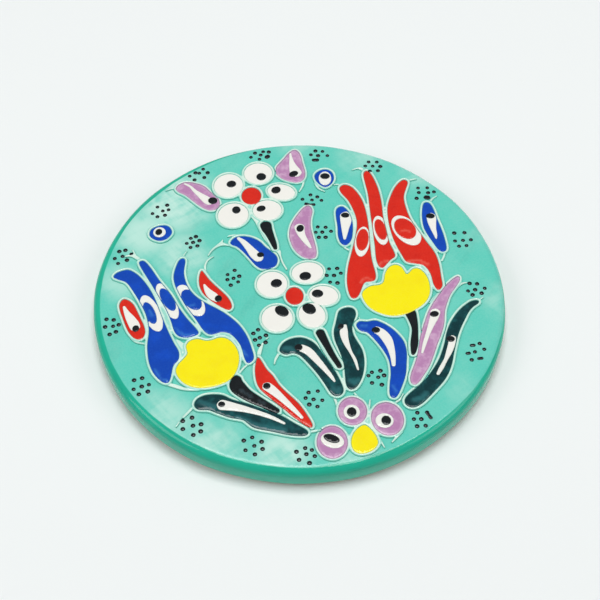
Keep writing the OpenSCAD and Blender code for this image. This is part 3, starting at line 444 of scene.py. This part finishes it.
def made_plain(piece):
    """Turns what the trees made into the piece's own mesh."""
    graph = bpy.context.evaluated_depsgraph_get()
    mesh = bpy.data.meshes.new_from_object(
        piece.evaluated_get(graph), preserve_all_data_layers=True, depsgraph=graph,
    )
    piece.modifiers.clear()
    piece.data = mesh
    mesh.name = piece.name
    if not mesh.polygons:
        raise RuntimeError(piece.name + " came out empty")
    return piece


# ---- Meshes ----


def new_piece(name, vertices, faces=(), edges=()):
    """An object at the origin with its place in its mesh."""
    mesh = bpy.data.meshes.new(name)
    mesh.from_pydata([tuple(v) for v in vertices], [tuple(e) for e in edges], [tuple(f) for f in faces])
    mesh.update()
    piece = bpy.data.objects.new(name, mesh)
    bpy.context.scene.collection.objects.link(piece)
    return piece


def turned(name, profile, segments=288):
    """A closed form turned about Z from (radius, height) points that start and end on the axis."""
    angles = np.linspace(0, math.tau, segments, endpoint=False)
    rings = profile[1:-1]
    vertices = [(0, 0, profile[0][1])]
    for radius, height in rings:
        vertices += [(radius * math.cos(a), radius * math.sin(a), height) for a in angles]
    vertices.append((0, 0, profile[-1][1]))
    faces = []
    for k in range(segments):
        after = (k + 1) % segments
        faces.append((0, 1 + k, 1 + after))
        for ring in range(len(rings) - 1):
            low = 1 + ring * segments
            faces.append((low + k, low + segments + k, low + segments + after, low + after))
        last = 1 + (len(rings) - 1) * segments
        faces.append((last + k, len(vertices) - 1, last + after))
    return new_piece(name, vertices, faces)


def arc(centre, radius, start, end, count=9):
    """Points of an arc in the half plane, from one angle to another in degrees."""
    return [
        (centre[0] + radius * math.cos(a), centre[1] + radius * math.sin(a))
        for a in np.radians(np.linspace(start, end, count))
    ]


def outlines(name):
    """Closed outlines of a CAD layer's top face in millimetres, with the filled side on the left."""
    mesh = frame["nodes"][name].data
    mesh.calc_loop_triangles()
    points = np.array([v.co for v in mesh.vertices], float)
    top = points[:, 2].max() - 1e-6
    keys = [tuple(p) for p in (points[:, :2] / MM).round(5)]
    sides = set()
    for triangle in mesh.loop_triangles:
        corners = list(triangle.vertices)
        if all(points[c, 2] > top for c in corners):
            for a, b in zip(corners, corners[1:] + corners[:1]):
                sides.add((keys[a], keys[b]))
    after = {}
    for a, b in sides:
        if (b, a) not in sides:
            after.setdefault(a, []).append(b)
    loops = []
    for start in sorted(after):
        while after.get(start):
            loop = [start]
            step = after[start].pop()
            while step != start:
                loop.append(step)
                step = after[step].pop()
            if len(loop) > 2:
                loops.append(np.array(loop))
    return loops


def eased(loop, least=0.2, most=0.45):
    """The outline with its corners cut twice, and its points neither crowded nor far apart."""
    kept = [loop[0]]
    for point in loop[1:]:
        if np.hypot(*(point - kept[-1])) > least:
            kept.append(point)
    loop = np.array(kept)
    for _ in range(2):
        ahead = np.roll(loop, -1, 0)
        loop = np.stack([0.75 * loop + 0.25 * ahead, 0.25 * loop + 0.75 * ahead], 1).reshape(-1, 2)
    points = []
    for a, b in zip(loop, np.roll(loop, -1, 0)):
        gap = np.hypot(*(b - a))
        if points and gap < 0.35 * least:
            continue
        count = max(1, math.ceil(gap / most))
        points += [a + (b - a) * k / count for k in range(count)]
    return np.array(points)


def left_of(loop):
    """Unit vectors that point from each point of an outline to its filled side."""
    along = np.roll(loop, -1, 0) - np.roll(loop, 1, 0)
    along /= np.maximum(np.hypot(along[:, 0], along[:, 1]), 1e-9)[:, None]
    return np.stack([-along[:, 1], along[:, 0]], 1)


def enclosed(points, loops):
    """Which points the outlines wind round, so that outlines may cross and holes are left out."""
    start = np.concatenate(loops)
    end = np.concatenate([np.roll(loop, -1, 0) for loop in loops])
    run = end - start
    upward = np.sign(run[:, 1])
    run[upward == 0, 1] = 1.0
    found = np.zeros(len(points), bool)
    for first in range(0, len(points), 2000):
        part = points[first:first + 2000, None]
        beyond = (start[:, 1] > part[..., 1]) != (end[:, 1] > part[..., 1])
        crossing = start[:, 0] + (part[..., 1] - start[:, 1]) * run[:, 0] / run[:, 1]
        turns = (upward * (beyond & (part[..., 0] < crossing))).sum(1)
        found[first:first + 2000] = turns > 0.5
    return found


def area(loop):
    """Area that an outline encloses, negative where it runs clockwise."""
    ahead = np.roll(loop, -1, 0)
    return 0.5 * float((loop[:, 0] * ahead[:, 1] - ahead[:, 0] * loop[:, 1]).sum())


def is_crack(loop):
    """Whether an outline is a hole so narrow that slip runs over it."""
    around = np.hypot(*(np.roll(loop, -1, 0) - loop).T).sum()
    return area(loop) < 0 and -2 * area(loop) < CRACK_WIDTH * around


def near_tree(points):
    """A search tree over flat points."""
    tree = kdtree.KDTree(len(points))
    for index, point in enumerate(points):
        tree.insert((point[0], point[1], 0), index)
    tree.balance()
    return tree


def filled(points, edges, loops):
    """Triangles between flat points that keep the given edges and stay inside the outlines."""
    found = delaunay_2d_cdt([Vector(p) for p in points], edges, [], 0, 1e-6)
    flat = np.array([tuple(p) for p in found[0]])
    faces = np.array([f for f in found[2] if len(f) == 3])
    return flat, faces[enclosed(flat[faces].mean(1), loops)]


def flat_sheet(name, loops, lip, lattice, grow=0.0):
    """A flat mesh that fills the outlines, finer beside them so that a rounded lip can be shaped there."""
    loops = [eased(loop) for loop in loops if not is_crack(loop)]
    loops = [loop - grow * left_of(loop) for loop in loops]
    border = np.concatenate(loops)
    border_tree = near_tree(border)

    def clear(points, gap):
        return np.array([border_tree.find((p[0], p[1], 0))[2] > gap for p in points], bool)

    rows = []
    for turn in LIP_TURNS:
        inset = lip * (1 - math.cos(math.radians(turn)))
        for loop in loops:
            row = loop + inset * left_of(loop)
            rows.append(row[clear(row, 0.88 * inset)])
    low, high = border.min(0), border.max(0)
    across = np.arange(low[0], high[0], lattice)
    upward = np.arange(low[1], high[1], lattice * ROW_SHARE)
    grid = np.array([(x + (k % 2) * lattice / 2, y) for k, y in enumerate(upward) for x in across])
    rows.append(grid[clear(grid, lip + 0.4 * lattice)])
    inner = np.concatenate(rows)
    inner = inner[enclosed(inner, loops)]
    cells = np.floor(inner / CELL).astype(int)
    inner = inner[np.sort(np.unique(cells, axis=0, return_index=True)[1])]
    edges = []
    for loop in loops:
        first = len(edges)
        edges += [(first + k, first + (k + 1) % len(loop)) for k in range(len(loop))]
    points = np.concatenate([border, inner])
    flat, faces = filled(points, edges, loops)
    on_border = ~clear(flat, 1e-5)
    necks = faces[on_border[faces].all(1)]
    middles = np.concatenate([(flat[necks[:, k]] + flat[necks[:, k - 1]]) / 2 for k in range(3)])
    if len(middles):
        middles = np.unique(middles.round(4), axis=0)
        middles = middles[clear(middles, LEAST_NECK)]
        middles = middles[enclosed(middles, loops)]
        flat, faces = filled(np.concatenate([points, middles]), edges, loops)
    used, faces = np.unique(faces, return_inverse=True)
    faces = faces.reshape(-1, 3)
    return new_piece(name, np.c_[flat[used] * MM, np.zeros(len(used))], faces.tolist())


def joined(name, pieces):
    """One mesh object of several pieces, with the attributes that all of them carry."""
    with bpy.context.temp_override(
        active_object=pieces[0], object=pieces[0], selected_editable_objects=pieces, selected_objects=pieces,
    ):
        bpy.ops.object.join()
    pieces[0].name = name
    pieces[0].data.name = name
    return pieces[0]


def copied(piece, name):
    """A second object with its own copy of a piece's mesh."""
    twin = bpy.data.objects.new(name, piece.data.copy())
    bpy.context.scene.collection.objects.link(twin)
    return twin


def dropped(*pieces):
    """Removes working pieces that aren't part of the plate."""
    for piece in pieces:
        mesh = piece.data
        bpy.data.objects.remove(piece)
        bpy.data.meshes.remove(mesh)


def finished(piece, *nodes):
    """Puts a piece under the root body and hides the CAD nodes that it stands for."""
    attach(piece, "root")
    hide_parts(*nodes)


# ---- Materials ----


def glossy(name, colour_maker, roughness=0.1, peel=0.025, peel_scale=420.0):
    """A fired glaze: its colour from a function, and a faint orange-peel swell over a clear gloss."""
    material = bpy.data.materials.new(name)
    material.use_nodes = True
    tree = material.node_tree
    tree.nodes.clear()
    place = node(tree, "ShaderNodeTexCoord").outputs["Object"]
    values = {"Roughness": roughness, "IOR": 1.5, "Specular IOR Level": 0.32}
    shader = node(tree, "ShaderNodeBsdfPrincipled", values)
    tree.links.new(colour_maker(tree, place), shader.inputs["Base Color"])
    swell = noise(tree, place, peel_scale, 2.0)
    bump = node(tree, "ShaderNodeBump", {"Height": swell, "Strength": peel, "Distance": 0.3 * MM})
    tree.links.new(bump.outputs[0], shader.inputs["Normal"])
    node(tree, "ShaderNodeOutputMaterial", {0: shader.outputs[0]})
    return material


def scaled(colour, amount):
    """A colour made lighter or darker."""
    return tuple(min(1.0, c * amount) for c in colour)


def toward(colour, other, amount):
    """A colour part of the way to another."""
    return tuple(a + (b - a) * amount for a, b in zip(colour, other))


def pooled(body, thin, cloudy, depth=0.5, fade=(0.45, 0.05), cloud_scale=110.0):
    """Colour of a pool: its body, clouds where it lies thinner, and a thin rim and thin strokes."""

    def colour(tree, place):
        clouds = eased_range(tree, noise(tree, place, cloud_scale, 4.0, 0.6), 0.42, 0.72)
        cloud_amount = sums(tree, "MULTIPLY", clouds, depth)
        grain = eased_range(tree, noise(tree, place, 1500.0, 2.0), 0.35, 0.75)
        base = blended(tree, cloud_amount, body, cloudy)
        base = blended(tree, sums(tree, "MULTIPLY", grain, 0.06), base, thin)
        rim = eased_range(tree, attribute(tree, "edge"), *fade)
        strokes = sums(tree, "MULTIPLY", attribute(tree, "thin"), 0.55)
        amount = sums(tree, "MAXIMUM", sums(tree, "MULTIPLY", rim, 0.35), strokes)
        return blended(tree, amount, base, thin)

    return colour


def slip_colour(colours):
    """Colour of a slip line: pale beside a pool and stained by it, washed over on its far side."""

    def colour(tree, place):
        edge, gap = attribute(tree, "edge"), attribute(tree, "gap")
        ground = toward(colours.turquoise, colours.pale, 0.12)
        patchy = eased_range(tree, noise(tree, place, 150.0, 3.0), 0.36, 0.66)
        fine = eased_range(tree, noise(tree, place, 900.0, 2.0), 0.3, 0.7)
        covered = sums(tree, "ADD", sums(tree, "MULTIPLY", patchy, 0.35), sums(tree, "MULTIPLY", fine, 0.12))
        pale = blended(tree, covered, colours.slip, toward(colours.turquoise, colours.pale, 0.6))
        near, far = eased_range(tree, gap, 1.2, 0.6), eased_range(tree, gap, 1.0, 1.5)
        beside = sums(tree, "MAXIMUM", near, far)
        beside = sums(tree, "MAXIMUM", beside, 0.35)
        shown = sums(tree, "MULTIPLY", eased_range(tree, edge, 0.04, 0.3), beside)
        line = blended(tree, shown, ground, pale)
        bleed = attribute(tree, "stain", "Alpha")
        stain = attribute(tree, "stain", "Color")
        paleness = sums(tree, "SUBTRACT", 0.62, sums(tree, "MULTIPLY", bleed, 0.5))
        faint = blended(tree, paleness, stain, colours.slip)
        wavering = sums(tree, "MULTIPLY_ADD", noise(tree, place, 500.0, 2.0), 0.5, gap)
        reach = eased_range(tree, sums(tree, "DIVIDE", wavering, bleed), 1.0, 0.3)
        return blended(tree, reach, line, faint)

    return colour


def wash_colour(colours):
    """Colour of the wash: brushed thin in clouds and streaks on the face, thick and deep on the wall, with a
    painted reflection of the pale floor lightening the wall's foot.
    """

    def colour(tree, place):
        pale = None
        # Pale clouds of thin wash; those along the far rim also paint the shoulder's highlight.
        for x, y, radius, amount in CLOUDS:
            gap = node(
                tree, "ShaderNodeVectorMath", {0: place, 1: (x * MM, y * MM, FACE_Z)}, operation="DISTANCE",
            ).outputs["Value"]
            cloud = sums(tree, "MULTIPLY", eased_range(tree, gap, radius * MM, 0.2 * radius * MM), amount)
            pale = cloud if pale is None else sums(tree, "MAXIMUM", pale, cloud)
        soft = noise(tree, place, 55.0, 4.0, 0.55)
        grain = eased_range(tree, noise(tree, place, 1300.0, 2.0), 0.3, 0.7)
        streaks = noise(tree, stretched(tree, place, 35, 5), 330.0, 4.0, 0.6)
        cross = noise(tree, stretched(tree, place, -50, 6), 260.0, 3.0, 0.6)
        brushed = sums(tree, "ADD", sums(tree, "MULTIPLY", streaks, 0.5), sums(tree, "MULTIPLY", cross, 0.5))
        brushed = sums(tree, "MULTIPLY", brushed, 0.45)
        uneven = sums(tree, "ADD", sums(tree, "MULTIPLY", soft, 0.55), brushed)
        patch = eased_range(tree, uneven, 0.4, 0.66)
        amount = sums(tree, "ADD", sums(tree, "MULTIPLY", patch, 0.1), sums(tree, "MULTIPLY", pale, 0.25))
        both = sums(tree, "MULTIPLY", pale, eased_range(tree, uneven, 0.36, 0.56))
        amount = sums(tree, "MINIMUM", sums(tree, "ADD", amount, sums(tree, "MULTIPLY", both, 0.85)), 1.0)
        deep = eased_range(tree, noise(tree, stretched(tree, place, 60, 4), 120.0, 4.0, 0.6), 0.52, 0.72)
        deeper = scaled(colours.turquoise, 0.84)
        thick = blended(tree, sums(tree, "MULTIPLY", deep, 0.5), colours.turquoise, deeper)
        thick = blended(tree, sums(tree, "MULTIPLY", grain, 0.07), thick, colours.pale)
        face = blended(tree, amount, thick, colours.pale)
        height = node(tree, "ShaderNodeSeparateXYZ", {0: place}).outputs[2]
        flat = node(tree, "ShaderNodeVectorMath", {0: place, 1: (1, 1, 0)}, operation="MULTIPLY").outputs[0]
        radius = node(tree, "ShaderNodeVectorMath", {0: flat}, operation="LENGTH").outputs["Value"]
        stray = sums(tree, "MULTIPLY", noise(tree, place, 70.0, 2.0), 0.8 * MM)
        aside = node(tree, "ShaderNodeVectorMath", {0: place, 1: (0.8, 0.6, 0)}, operation="DOT_PRODUCT")
        later = eased_range(tree, aside.outputs["Value"], -0.1 * DISC_R, 0.7 * DISC_R)
        delay = sums(tree, "MULTIPLY", later, 2.2 * MM)
        reach = sums(tree, "SUBTRACT", sums(tree, "ADD", radius, stray), delay)
        line = eased_range(tree, reach, FACE_R + 0.75 * MM, FACE_R + 0.35 * MM)
        bands = node(tree, "ShaderNodeMapping", {"Vector": place, "Scale": (1, 1, 9)}).outputs[0]
        runs = eased_range(tree, noise(tree, bands, 60.0, 3.0), 0.35, 0.65)
        # Painted reflection: the wall turns lighter towards its foot, where it would mirror the pale floor.
        low = eased_range(tree, height, 0.75 * FACE_Z, 0.25 * FACE_Z)
        floor_lit_wall = toward(scaled(colours.wall, 1.1), colours.pale, 0.16)
        wall = blended(tree, sums(tree, "MULTIPLY", runs, 0.45), colours.wall, scaled(colours.wall, 0.78))
        wall = blended(tree, sums(tree, "MULTIPLY", low, 0.75), wall, floor_lit_wall)
        return blended(tree, line, wall, face)

    return colour


def clay_colour(colours):
    """Colour of bare clay: warm, with fine specks, soft clouds, and a stain of wash on its edge."""

    def colour(tree, place):
        clouds = eased_range(tree, noise(tree, place, 45.0, 4.0), 0.35, 0.7)
        base = blended(tree, sums(tree, "MULTIPLY", clouds, 0.5), colours.clay, scaled(colours.clay, 0.82))
        height = node(tree, "ShaderNodeSeparateXYZ", {0: place}).outputs[2]
        washed = eased_range(tree, height, 0.1 * MM, 1.6 * MM)
        wash = toward(colours.wall, colours.pale, 0.35)
        base = blended(tree, sums(tree, "MULTIPLY", washed, 0.85), base, wash)
        specks = eased_range(tree, noise(tree, place, 2200.0, 2.0), 0.66, 0.74)
        return blended(tree, sums(tree, "MULTIPLY", specks, 0.5), base, scaled(colours.clay, 0.45))

    return colour


def bare_clay(colours):
    """Dull fired clay with faint turning rings."""
    material = glossy("bare_clay", clay_colour(colours), roughness=0.8, peel=0.35, peel_scale=1400.0)
    tree = material.node_tree
    place = node(tree, "ShaderNodeTexCoord").outputs["Object"]
    rings = node(
        tree, "ShaderNodeTexWave", {"Vector": place, "Scale": 260.0, "Distortion": 1.5, "Detail": 1.0},
        wave_type="RINGS", rings_direction="Z",
    ).outputs["Fac"]
    bump = next(n for n in tree.nodes if n.type == "BUMP")
    shader = next(n for n in tree.nodes if n.type == "BSDF_PRINCIPLED")
    ringed = node(
        tree, "ShaderNodeBump",
        {"Height": rings, "Strength": 0.25, "Distance": 0.2 * MM, "Normal": bump.outputs[0]},
    )
    tree.links.new(ringed.outputs[0], shader.inputs["Normal"])
    return material


def glaze_kit(colours):
    """One material for each slot of the record."""
    white = colours.white
    makers = {
        "red": pooled(colours.red, srgb(232, 110, 92), srgb(196, 28, 18), 0.5, cloud_scale=190.0),
        "blue": pooled(colours.blue, srgb(60, 128, 205), scaled(colours.blue, 1.35), 0.6, cloud_scale=170.0),
        "green": pooled(colours.green, srgb(52, 118, 122), srgb(22, 92, 94), 0.75, (0.4, 0.0), 240.0),
        "violet": pooled(colours.violet, srgb(216, 186, 208), srgb(206, 168, 198), 0.9, (1.3, 0.1), 330.0),
        "yellow": pooled(colours.yellow, srgb(238, 226, 120), srgb(240, 214, 6), 0.4),
        "white": pooled(white, srgb(222, 232, 222), scaled(white, 0.97), 0.4, (0.7, 0.1)),
        "black": pooled(colours.black, srgb(58, 74, 80), srgb(30, 34, 36), 0.4, (0.3, 0.0)),
    }
    kit = {slot: glossy(slot + "_glaze", maker, 0.1) for slot, maker in makers.items()}
    kit["slip"] = glossy("washed_slip", slip_colour(colours), 0.12)
    kit["turquoise_ground"] = glossy("turquoise_wash", wash_colour(colours), 0.11, 0.03, 300.0)
    kit["clay"] = bare_clay(colours)
    return kit


KIT = {}


def finish_of(slot, colours):
    """The material of a slot, made with all the others when first asked for."""
    if not KIT:
        KIT.update(glaze_kit(colours))
    return KIT[slot]


# ---- Layers of the plate ----


def box_height(name):
    """Lowest height and thickness of a CAD layer."""
    low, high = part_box(name)
    return low.z, high.z - low.z


def layers():
    """The CAD layers by kind: slip lines, pools on the ground, and drops that lie on pools."""
    kinds = {"slip": [], "pool": [], "drop": []}
    for name in sorted(frame["nodes"]):
        if name in ("clay_disc", "ground_glaze", "rim_glaze", "dots"):
            continue
        raised = box_height(name)[0] > FACE_Z + 0.1 * MM
        kind = "slip" if SLOT_OF[name] == "slip" else "drop" if raised else "pool"
        kinds[kind].append(name)
    return kinds


def stroke_guide(name):
    """The strokes under a layer's glaze as a mesh of edges, or None where it has none."""
    strokes = THIN_STROKES.get(name)
    if not strokes:
        return None
    vertices, edges = [], []
    for stroke in strokes:
        first = len(vertices)
        vertices += [(x * MM, y * MM, 0) for x, y in stroke]
        edges += [(k, k + 1) for k in range(first, len(vertices) - 1)]
    return new_piece(name + "_strokes", vertices, edges=edges)


def laid_glaze(name, bed, lip, grow, scene):
    """One layer of glaze or slip: its flat outline filled, then raised, rounded and laid on the bed."""
    sizes, colours = scene.plate_sizes, scene.plate_colours
    loops = outlines(name)
    piece = flat_sheet(name + "_layer", loops, lip / MM, sizes.lattice / MM, grow / MM)
    guide = stroke_guide(name)
    shape_with(
        piece, glaze_tree, Bed=bed, Strokes=guide, Height=box_height(name)[1], Lip=lip, Ripple=sizes.ripple,
        Lift=sizes.lift, Stroke_width=(2 if SLOT_OF[name] == "green" else 1) * sizes.stroke,
        Material=finish_of(SLOT_OF[name], colours),
    )
    made_plain(piece)
    if guide:
        dropped(guide)
    return piece


MADE = {}


class PLATE_OT_clay(bpy.types.Operator):
    """Make the fired clay disc, bare on its underside"""

    bl_idname = "plate.clay"
    bl_label = "Clay disc"

    def execute(self, context):
        scene = context.scene
        body_r = DISC_R - COAT_T
        flat_r = body_r - FOOT_BEND
        top = GROUND_LOW.z
        underside = [(r, FOOT_Z) for r in np.linspace(0, flat_r, 40)]
        edge = arc((flat_r, FOOT_Z + FOOT_BEND), FOOT_BEND, -90, 0)[1:]
        crown = SHOULDER_R - COAT_T
        shoulder = arc((body_r - crown, top - crown), crown, 0, 90)
        piece = turned("clay_body", underside + edge + shoulder + [(0, top)])
        shape_with(
            piece, hand_tree, Out_of_round=scene.plate_sizes.out_of_round, Undulation=0.0,
            Material=finish_of("clay", scene.plate_colours),
        )
        finished(made_plain(piece), "clay_disc")
        return {"FINISHED"}


class PLATE_OT_wash(bpy.types.Operator):
    """Make the turquoise coat on the face, shoulder and wall"""

    bl_idname = "plate.wash"
    bl_label = "Turquoise wash"

    def execute(self, context):
        scene = context.scene
        face = [(r, FACE_Z) for r in np.linspace(0, FACE_R, 72)]
        shoulder = arc((FACE_R, FACE_Z - SHOULDER_R), SHOULDER_R, 90, 0, 12)[1:]
        wall = [(DISC_R, z) for z in np.linspace(FACE_Z - SHOULDER_R, RIM_LOW.z + COAT_T, 8)[1:]]
        lip = arc((DISC_R - COAT_LIP, RIM_LOW.z + COAT_LIP), COAT_LIP, -15, -90, 5)
        inside = [(DISC_R - COAT_DEPTH, RIM_LOW.z + COAT_T)]
        inside += arc((FACE_R, FACE_Z - SHOULDER_R), SHOULDER_R - COAT_DEPTH, 0, 90, 8)
        under = [(r, FACE_Z - COAT_DEPTH) for r in np.linspace(FACE_R, 0, 9)[1:]]
        piece = turned("turquoise_wash", face + shoulder + wall + lip + inside + under)
        piece.data.flip_normals()
        sizes = scene.plate_sizes
        shape_with(
            piece, hand_tree, Out_of_round=sizes.out_of_round, Undulation=sizes.undulation,
            Material=finish_of("turquoise_ground", scene.plate_colours),
        )
        MADE["wash"] = made_plain(piece)
        finished(piece, "ground_glaze", "rim_glaze")
        return {"FINISHED"}


class PLATE_OT_pools(bpy.types.Operator):
    """Make the pools of coloured glaze that lie on the ground"""

    bl_idname = "plate.pools"
    bl_label = "Glaze pools"

    def execute(self, context):
        scene = context.scene
        sizes = scene.plate_sizes
        twins = []
        for name in layers()["pool"]:
            piece = laid_glaze(name, MADE["wash"], sizes.pool_lip, sizes.pool_creep, scene)
            finished(piece, name)
            twin = copied(piece, name + "_twin")
            colour = getattr(scene.plate_colours, SLOT_OF[name])
            shade = twin.data.attributes.new("tint", "FLOAT_COLOR", "POINT")
            bleed = WATERY_BLEED if SLOT_OF[name] == "violet" else BLEED
            shade.data.foreach_set("color", np.tile([*colour, bleed], len(twin.data.vertices)))
            twins.append(twin)
        MADE["pools"] = joined("all_pools", twins)
        ground = [copied(MADE["pools"], "pools_twin"), copied(MADE["wash"], "wash_twin")]
        MADE["bed"] = joined("all_ground", ground)
        return {"FINISHED"}


class PLATE_OT_slip_lines(bpy.types.Operator):
    """Make the raised lines of slip round the pools"""

    bl_idname = "plate.slip_lines"
    bl_label = "Slip lines"

    def execute(self, context):
        scene = context.scene
        sizes = scene.plate_sizes
        for name in layers()["slip"]:
            piece = laid_glaze(name, MADE["wash"], SLIP_LIP, sizes.slip_creep, scene)
            finish = finish_of("slip", scene.plate_colours)
            shape_with(piece, stain_tree, Pools=MADE["pools"], Material=finish)
            finished(made_plain(piece), name)
        return {"FINISHED"}


class PLATE_OT_drops(bpy.types.Operator):
    """Make the rings, tears, eyes and drops that lie on the pools"""

    bl_idname = "plate.drops"
    bl_label = "Rings, tears and eyes"

    def execute(self, context):
        scene = context.scene
        sizes = scene.plate_sizes
        for name in layers()["drop"]:
            piece = laid_glaze(name, MADE["bed"], sizes.drop_lip, DROP_CREEP, scene)
            finished(piece, name)
        dropped(MADE.pop("pools"), MADE.pop("bed"))
        return {"FINISHED"}


def dot_form():
    """A low dome with a flat underside, of unit radius and height."""
    profile = [(0.0, -0.3), (1.0, -0.3), (1.0, 0.0), (0.9, 0.5), (0.6, 0.85), (0.0, 1.0)]
    return turned("dot_form", profile, segments=14)


class PLATE_OT_dots(bpy.types.Operator):
    """Make the clusters of small black dots"""

    bl_idname = "plate.dots"
    bl_label = "Dots"

    def execute(self, context):
        scene = context.scene
        sizes = scene.plate_sizes
        finish = finish_of("black", scene.plate_colours)
        height = box_height("dots")[1]
        round_ones, dragged = [], []
        for loop in outlines("dots"):
            middle = loop.mean(0)
            reach = np.hypot(*(loop - middle).T)
            (round_ones if reach.max() < 1.15 * reach.min() else dragged).append(loop)
        centres = [(*(loop.mean(0) * MM), 0) for loop in round_ones]
        points = new_piece("dots", centres)
        wide = points.data.attributes.new("dot_radius", "FLOAT", "POINT")
        radii = [DOT_SPREAD * math.sqrt(area(loop) / math.pi) * MM for loop in round_ones]
        wide.data.foreach_set("value", radii)
        form = dot_form()
        shape_with(points, dot_tree, Bed=MADE["wash"], Dot=form, Height=height, Material=finish)
        made_plain(points)
        dropped(form)
        smears = flat_sheet("smears", dragged, sizes.drop_lip / MM, 0.4)
        shape_with(
            smears, glaze_tree, Bed=MADE["wash"], Height=height, Lip=sizes.drop_lip, Ripple=sizes.ripple,
            Lift=0.0, Stroke_width=sizes.stroke, Material=finish,
        )
        made_plain(smears)
        piece = joined("black_dots", [points, smears])
        finished(piece, "dots")
        return {"FINISHED"}


# ---- Stage ----


def area_light(name, place, size, power):
    """A square soft light turned towards the plate."""
    lamp = bpy.data.lights.new(name, "AREA")
    lamp.size = size
    lamp.energy = power
    light = bpy.data.objects.new(name, lamp)
    light.location = place
    light.rotation_euler = (-Vector(place)).to_track_quat("-Z", "Y").to_euler()
    bpy.context.scene.collection.objects.link(light)


class PLATE_OT_stage(bpy.types.Operator):
    """Set the pale floor, the soft lights and the camera"""

    bl_idname = "plate.stage"
    bl_label = "Stage"

    def execute(self, context):
        scene = context.scene
        half = FLOOR_HALF
        corners = [(-half, -half, 0), (half, -half, 0), (half, half, 0), (-half, half, 0)]
        floor = new_piece("floor", corners, [(0, 1, 2, 3)])
        paper = bpy.data.materials.new("pale_floor")
        paper.use_nodes = True
        shader = paper.node_tree.nodes["Principled BSDF"]
        shader.inputs["Base Color"].default_value = (*srgb(236, 239, 238), 1)
        shader.inputs["Roughness"].default_value = 0.9
        shader.inputs["Specular IOR Level"].default_value = 0.1
        floor.data.materials.append(paper)

        world = bpy.data.worlds.new("soft_room")
        world.use_nodes = True
        sky = world.node_tree.nodes["Background"]
        sky.inputs["Color"].default_value = (0.96, 0.985, 1.0, 1)
        sky.inputs["Strength"].default_value = 0.32
        scene.world = world
        area_light("overhead", (0.05, 0.24, 1.5), 0.75, 13.2)
        area_light("left_fill", (-0.9, -0.3, 0.8), 0.6, 3.3)
        area_light("right_fill", (0.9, -0.2, 0.8), 0.6, 2.4)

        lens = bpy.data.cameras.new("camera")
        lens.sensor_width = SENSOR
        lens.lens = LENS
        lens.shift_x = SHIFT_X
        lens.shift_y = SHIFT_Y
        lens.clip_start = 0.01
        camera = bpy.data.objects.new("camera", lens)
        tilt = math.radians(CAMERA_TILT)
        away = CAMERA_AWAY * DISC_R
        camera.location = (0, -away * math.cos(tilt), away * math.sin(tilt))
        aim = (-Vector(camera.location)).to_track_quat("-Z", "Y").to_matrix().to_4x4()
        roll = Matrix.Rotation(math.radians(CAMERA_ROLL), 4, "Z")
        camera.matrix_world = Matrix.Translation(camera.location) @ aim @ roll
        scene.collection.objects.link(camera)
        scene.camera = camera
        scene.view_settings.view_transform = "Standard"
        return {"FINISHED"}


class PLATE_PT_panel(bpy.types.Panel):
    """Lists the steps that build the plate, and its sizes and colours"""

    bl_idname = "PLATE_PT_panel"
    bl_label = "Painted plate"
    bl_space_type = "VIEW_3D"
    bl_region_type = "UI"
    bl_category = "Plate"

    def draw(self, context):
        column = self.layout.column()
        for step in STEPS:
            column.operator(step.bl_idname)
        for group in (context.scene.plate_sizes, context.scene.plate_colours):
            for name in group.__annotations__:
                column.prop(group, name)


STEPS = [
    PLATE_OT_clay, PLATE_OT_wash, PLATE_OT_pools, PLATE_OT_slip_lines, PLATE_OT_drops, PLATE_OT_dots,
    PLATE_OT_stage,
]
CLASSES = [PlateSizes, PlateColours, *STEPS, PLATE_PT_panel]


def register():
    """Registers the classes and gives each scene its sizes and colours."""
    for cls in CLASSES:
        bpy.utils.register_class(cls)
    bpy.types.Scene.plate_sizes = bpy.props.PointerProperty(type=PlateSizes)
    bpy.types.Scene.plate_colours = bpy.props.PointerProperty(type=PlateColours)


def unregister():
    """Takes back what register made."""
    del bpy.types.Scene.plate_sizes
    del bpy.types.Scene.plate_colours
    for cls in reversed(CLASSES):
        bpy.utils.unregister_class(cls)


def main():
    """Builds the plate and its stage."""
    register()
    for step in STEPS:
        group, name = step.bl_idname.split(".")
        getattr(getattr(bpy.ops, group), name)()


if __name__ == "__main__":
    main()
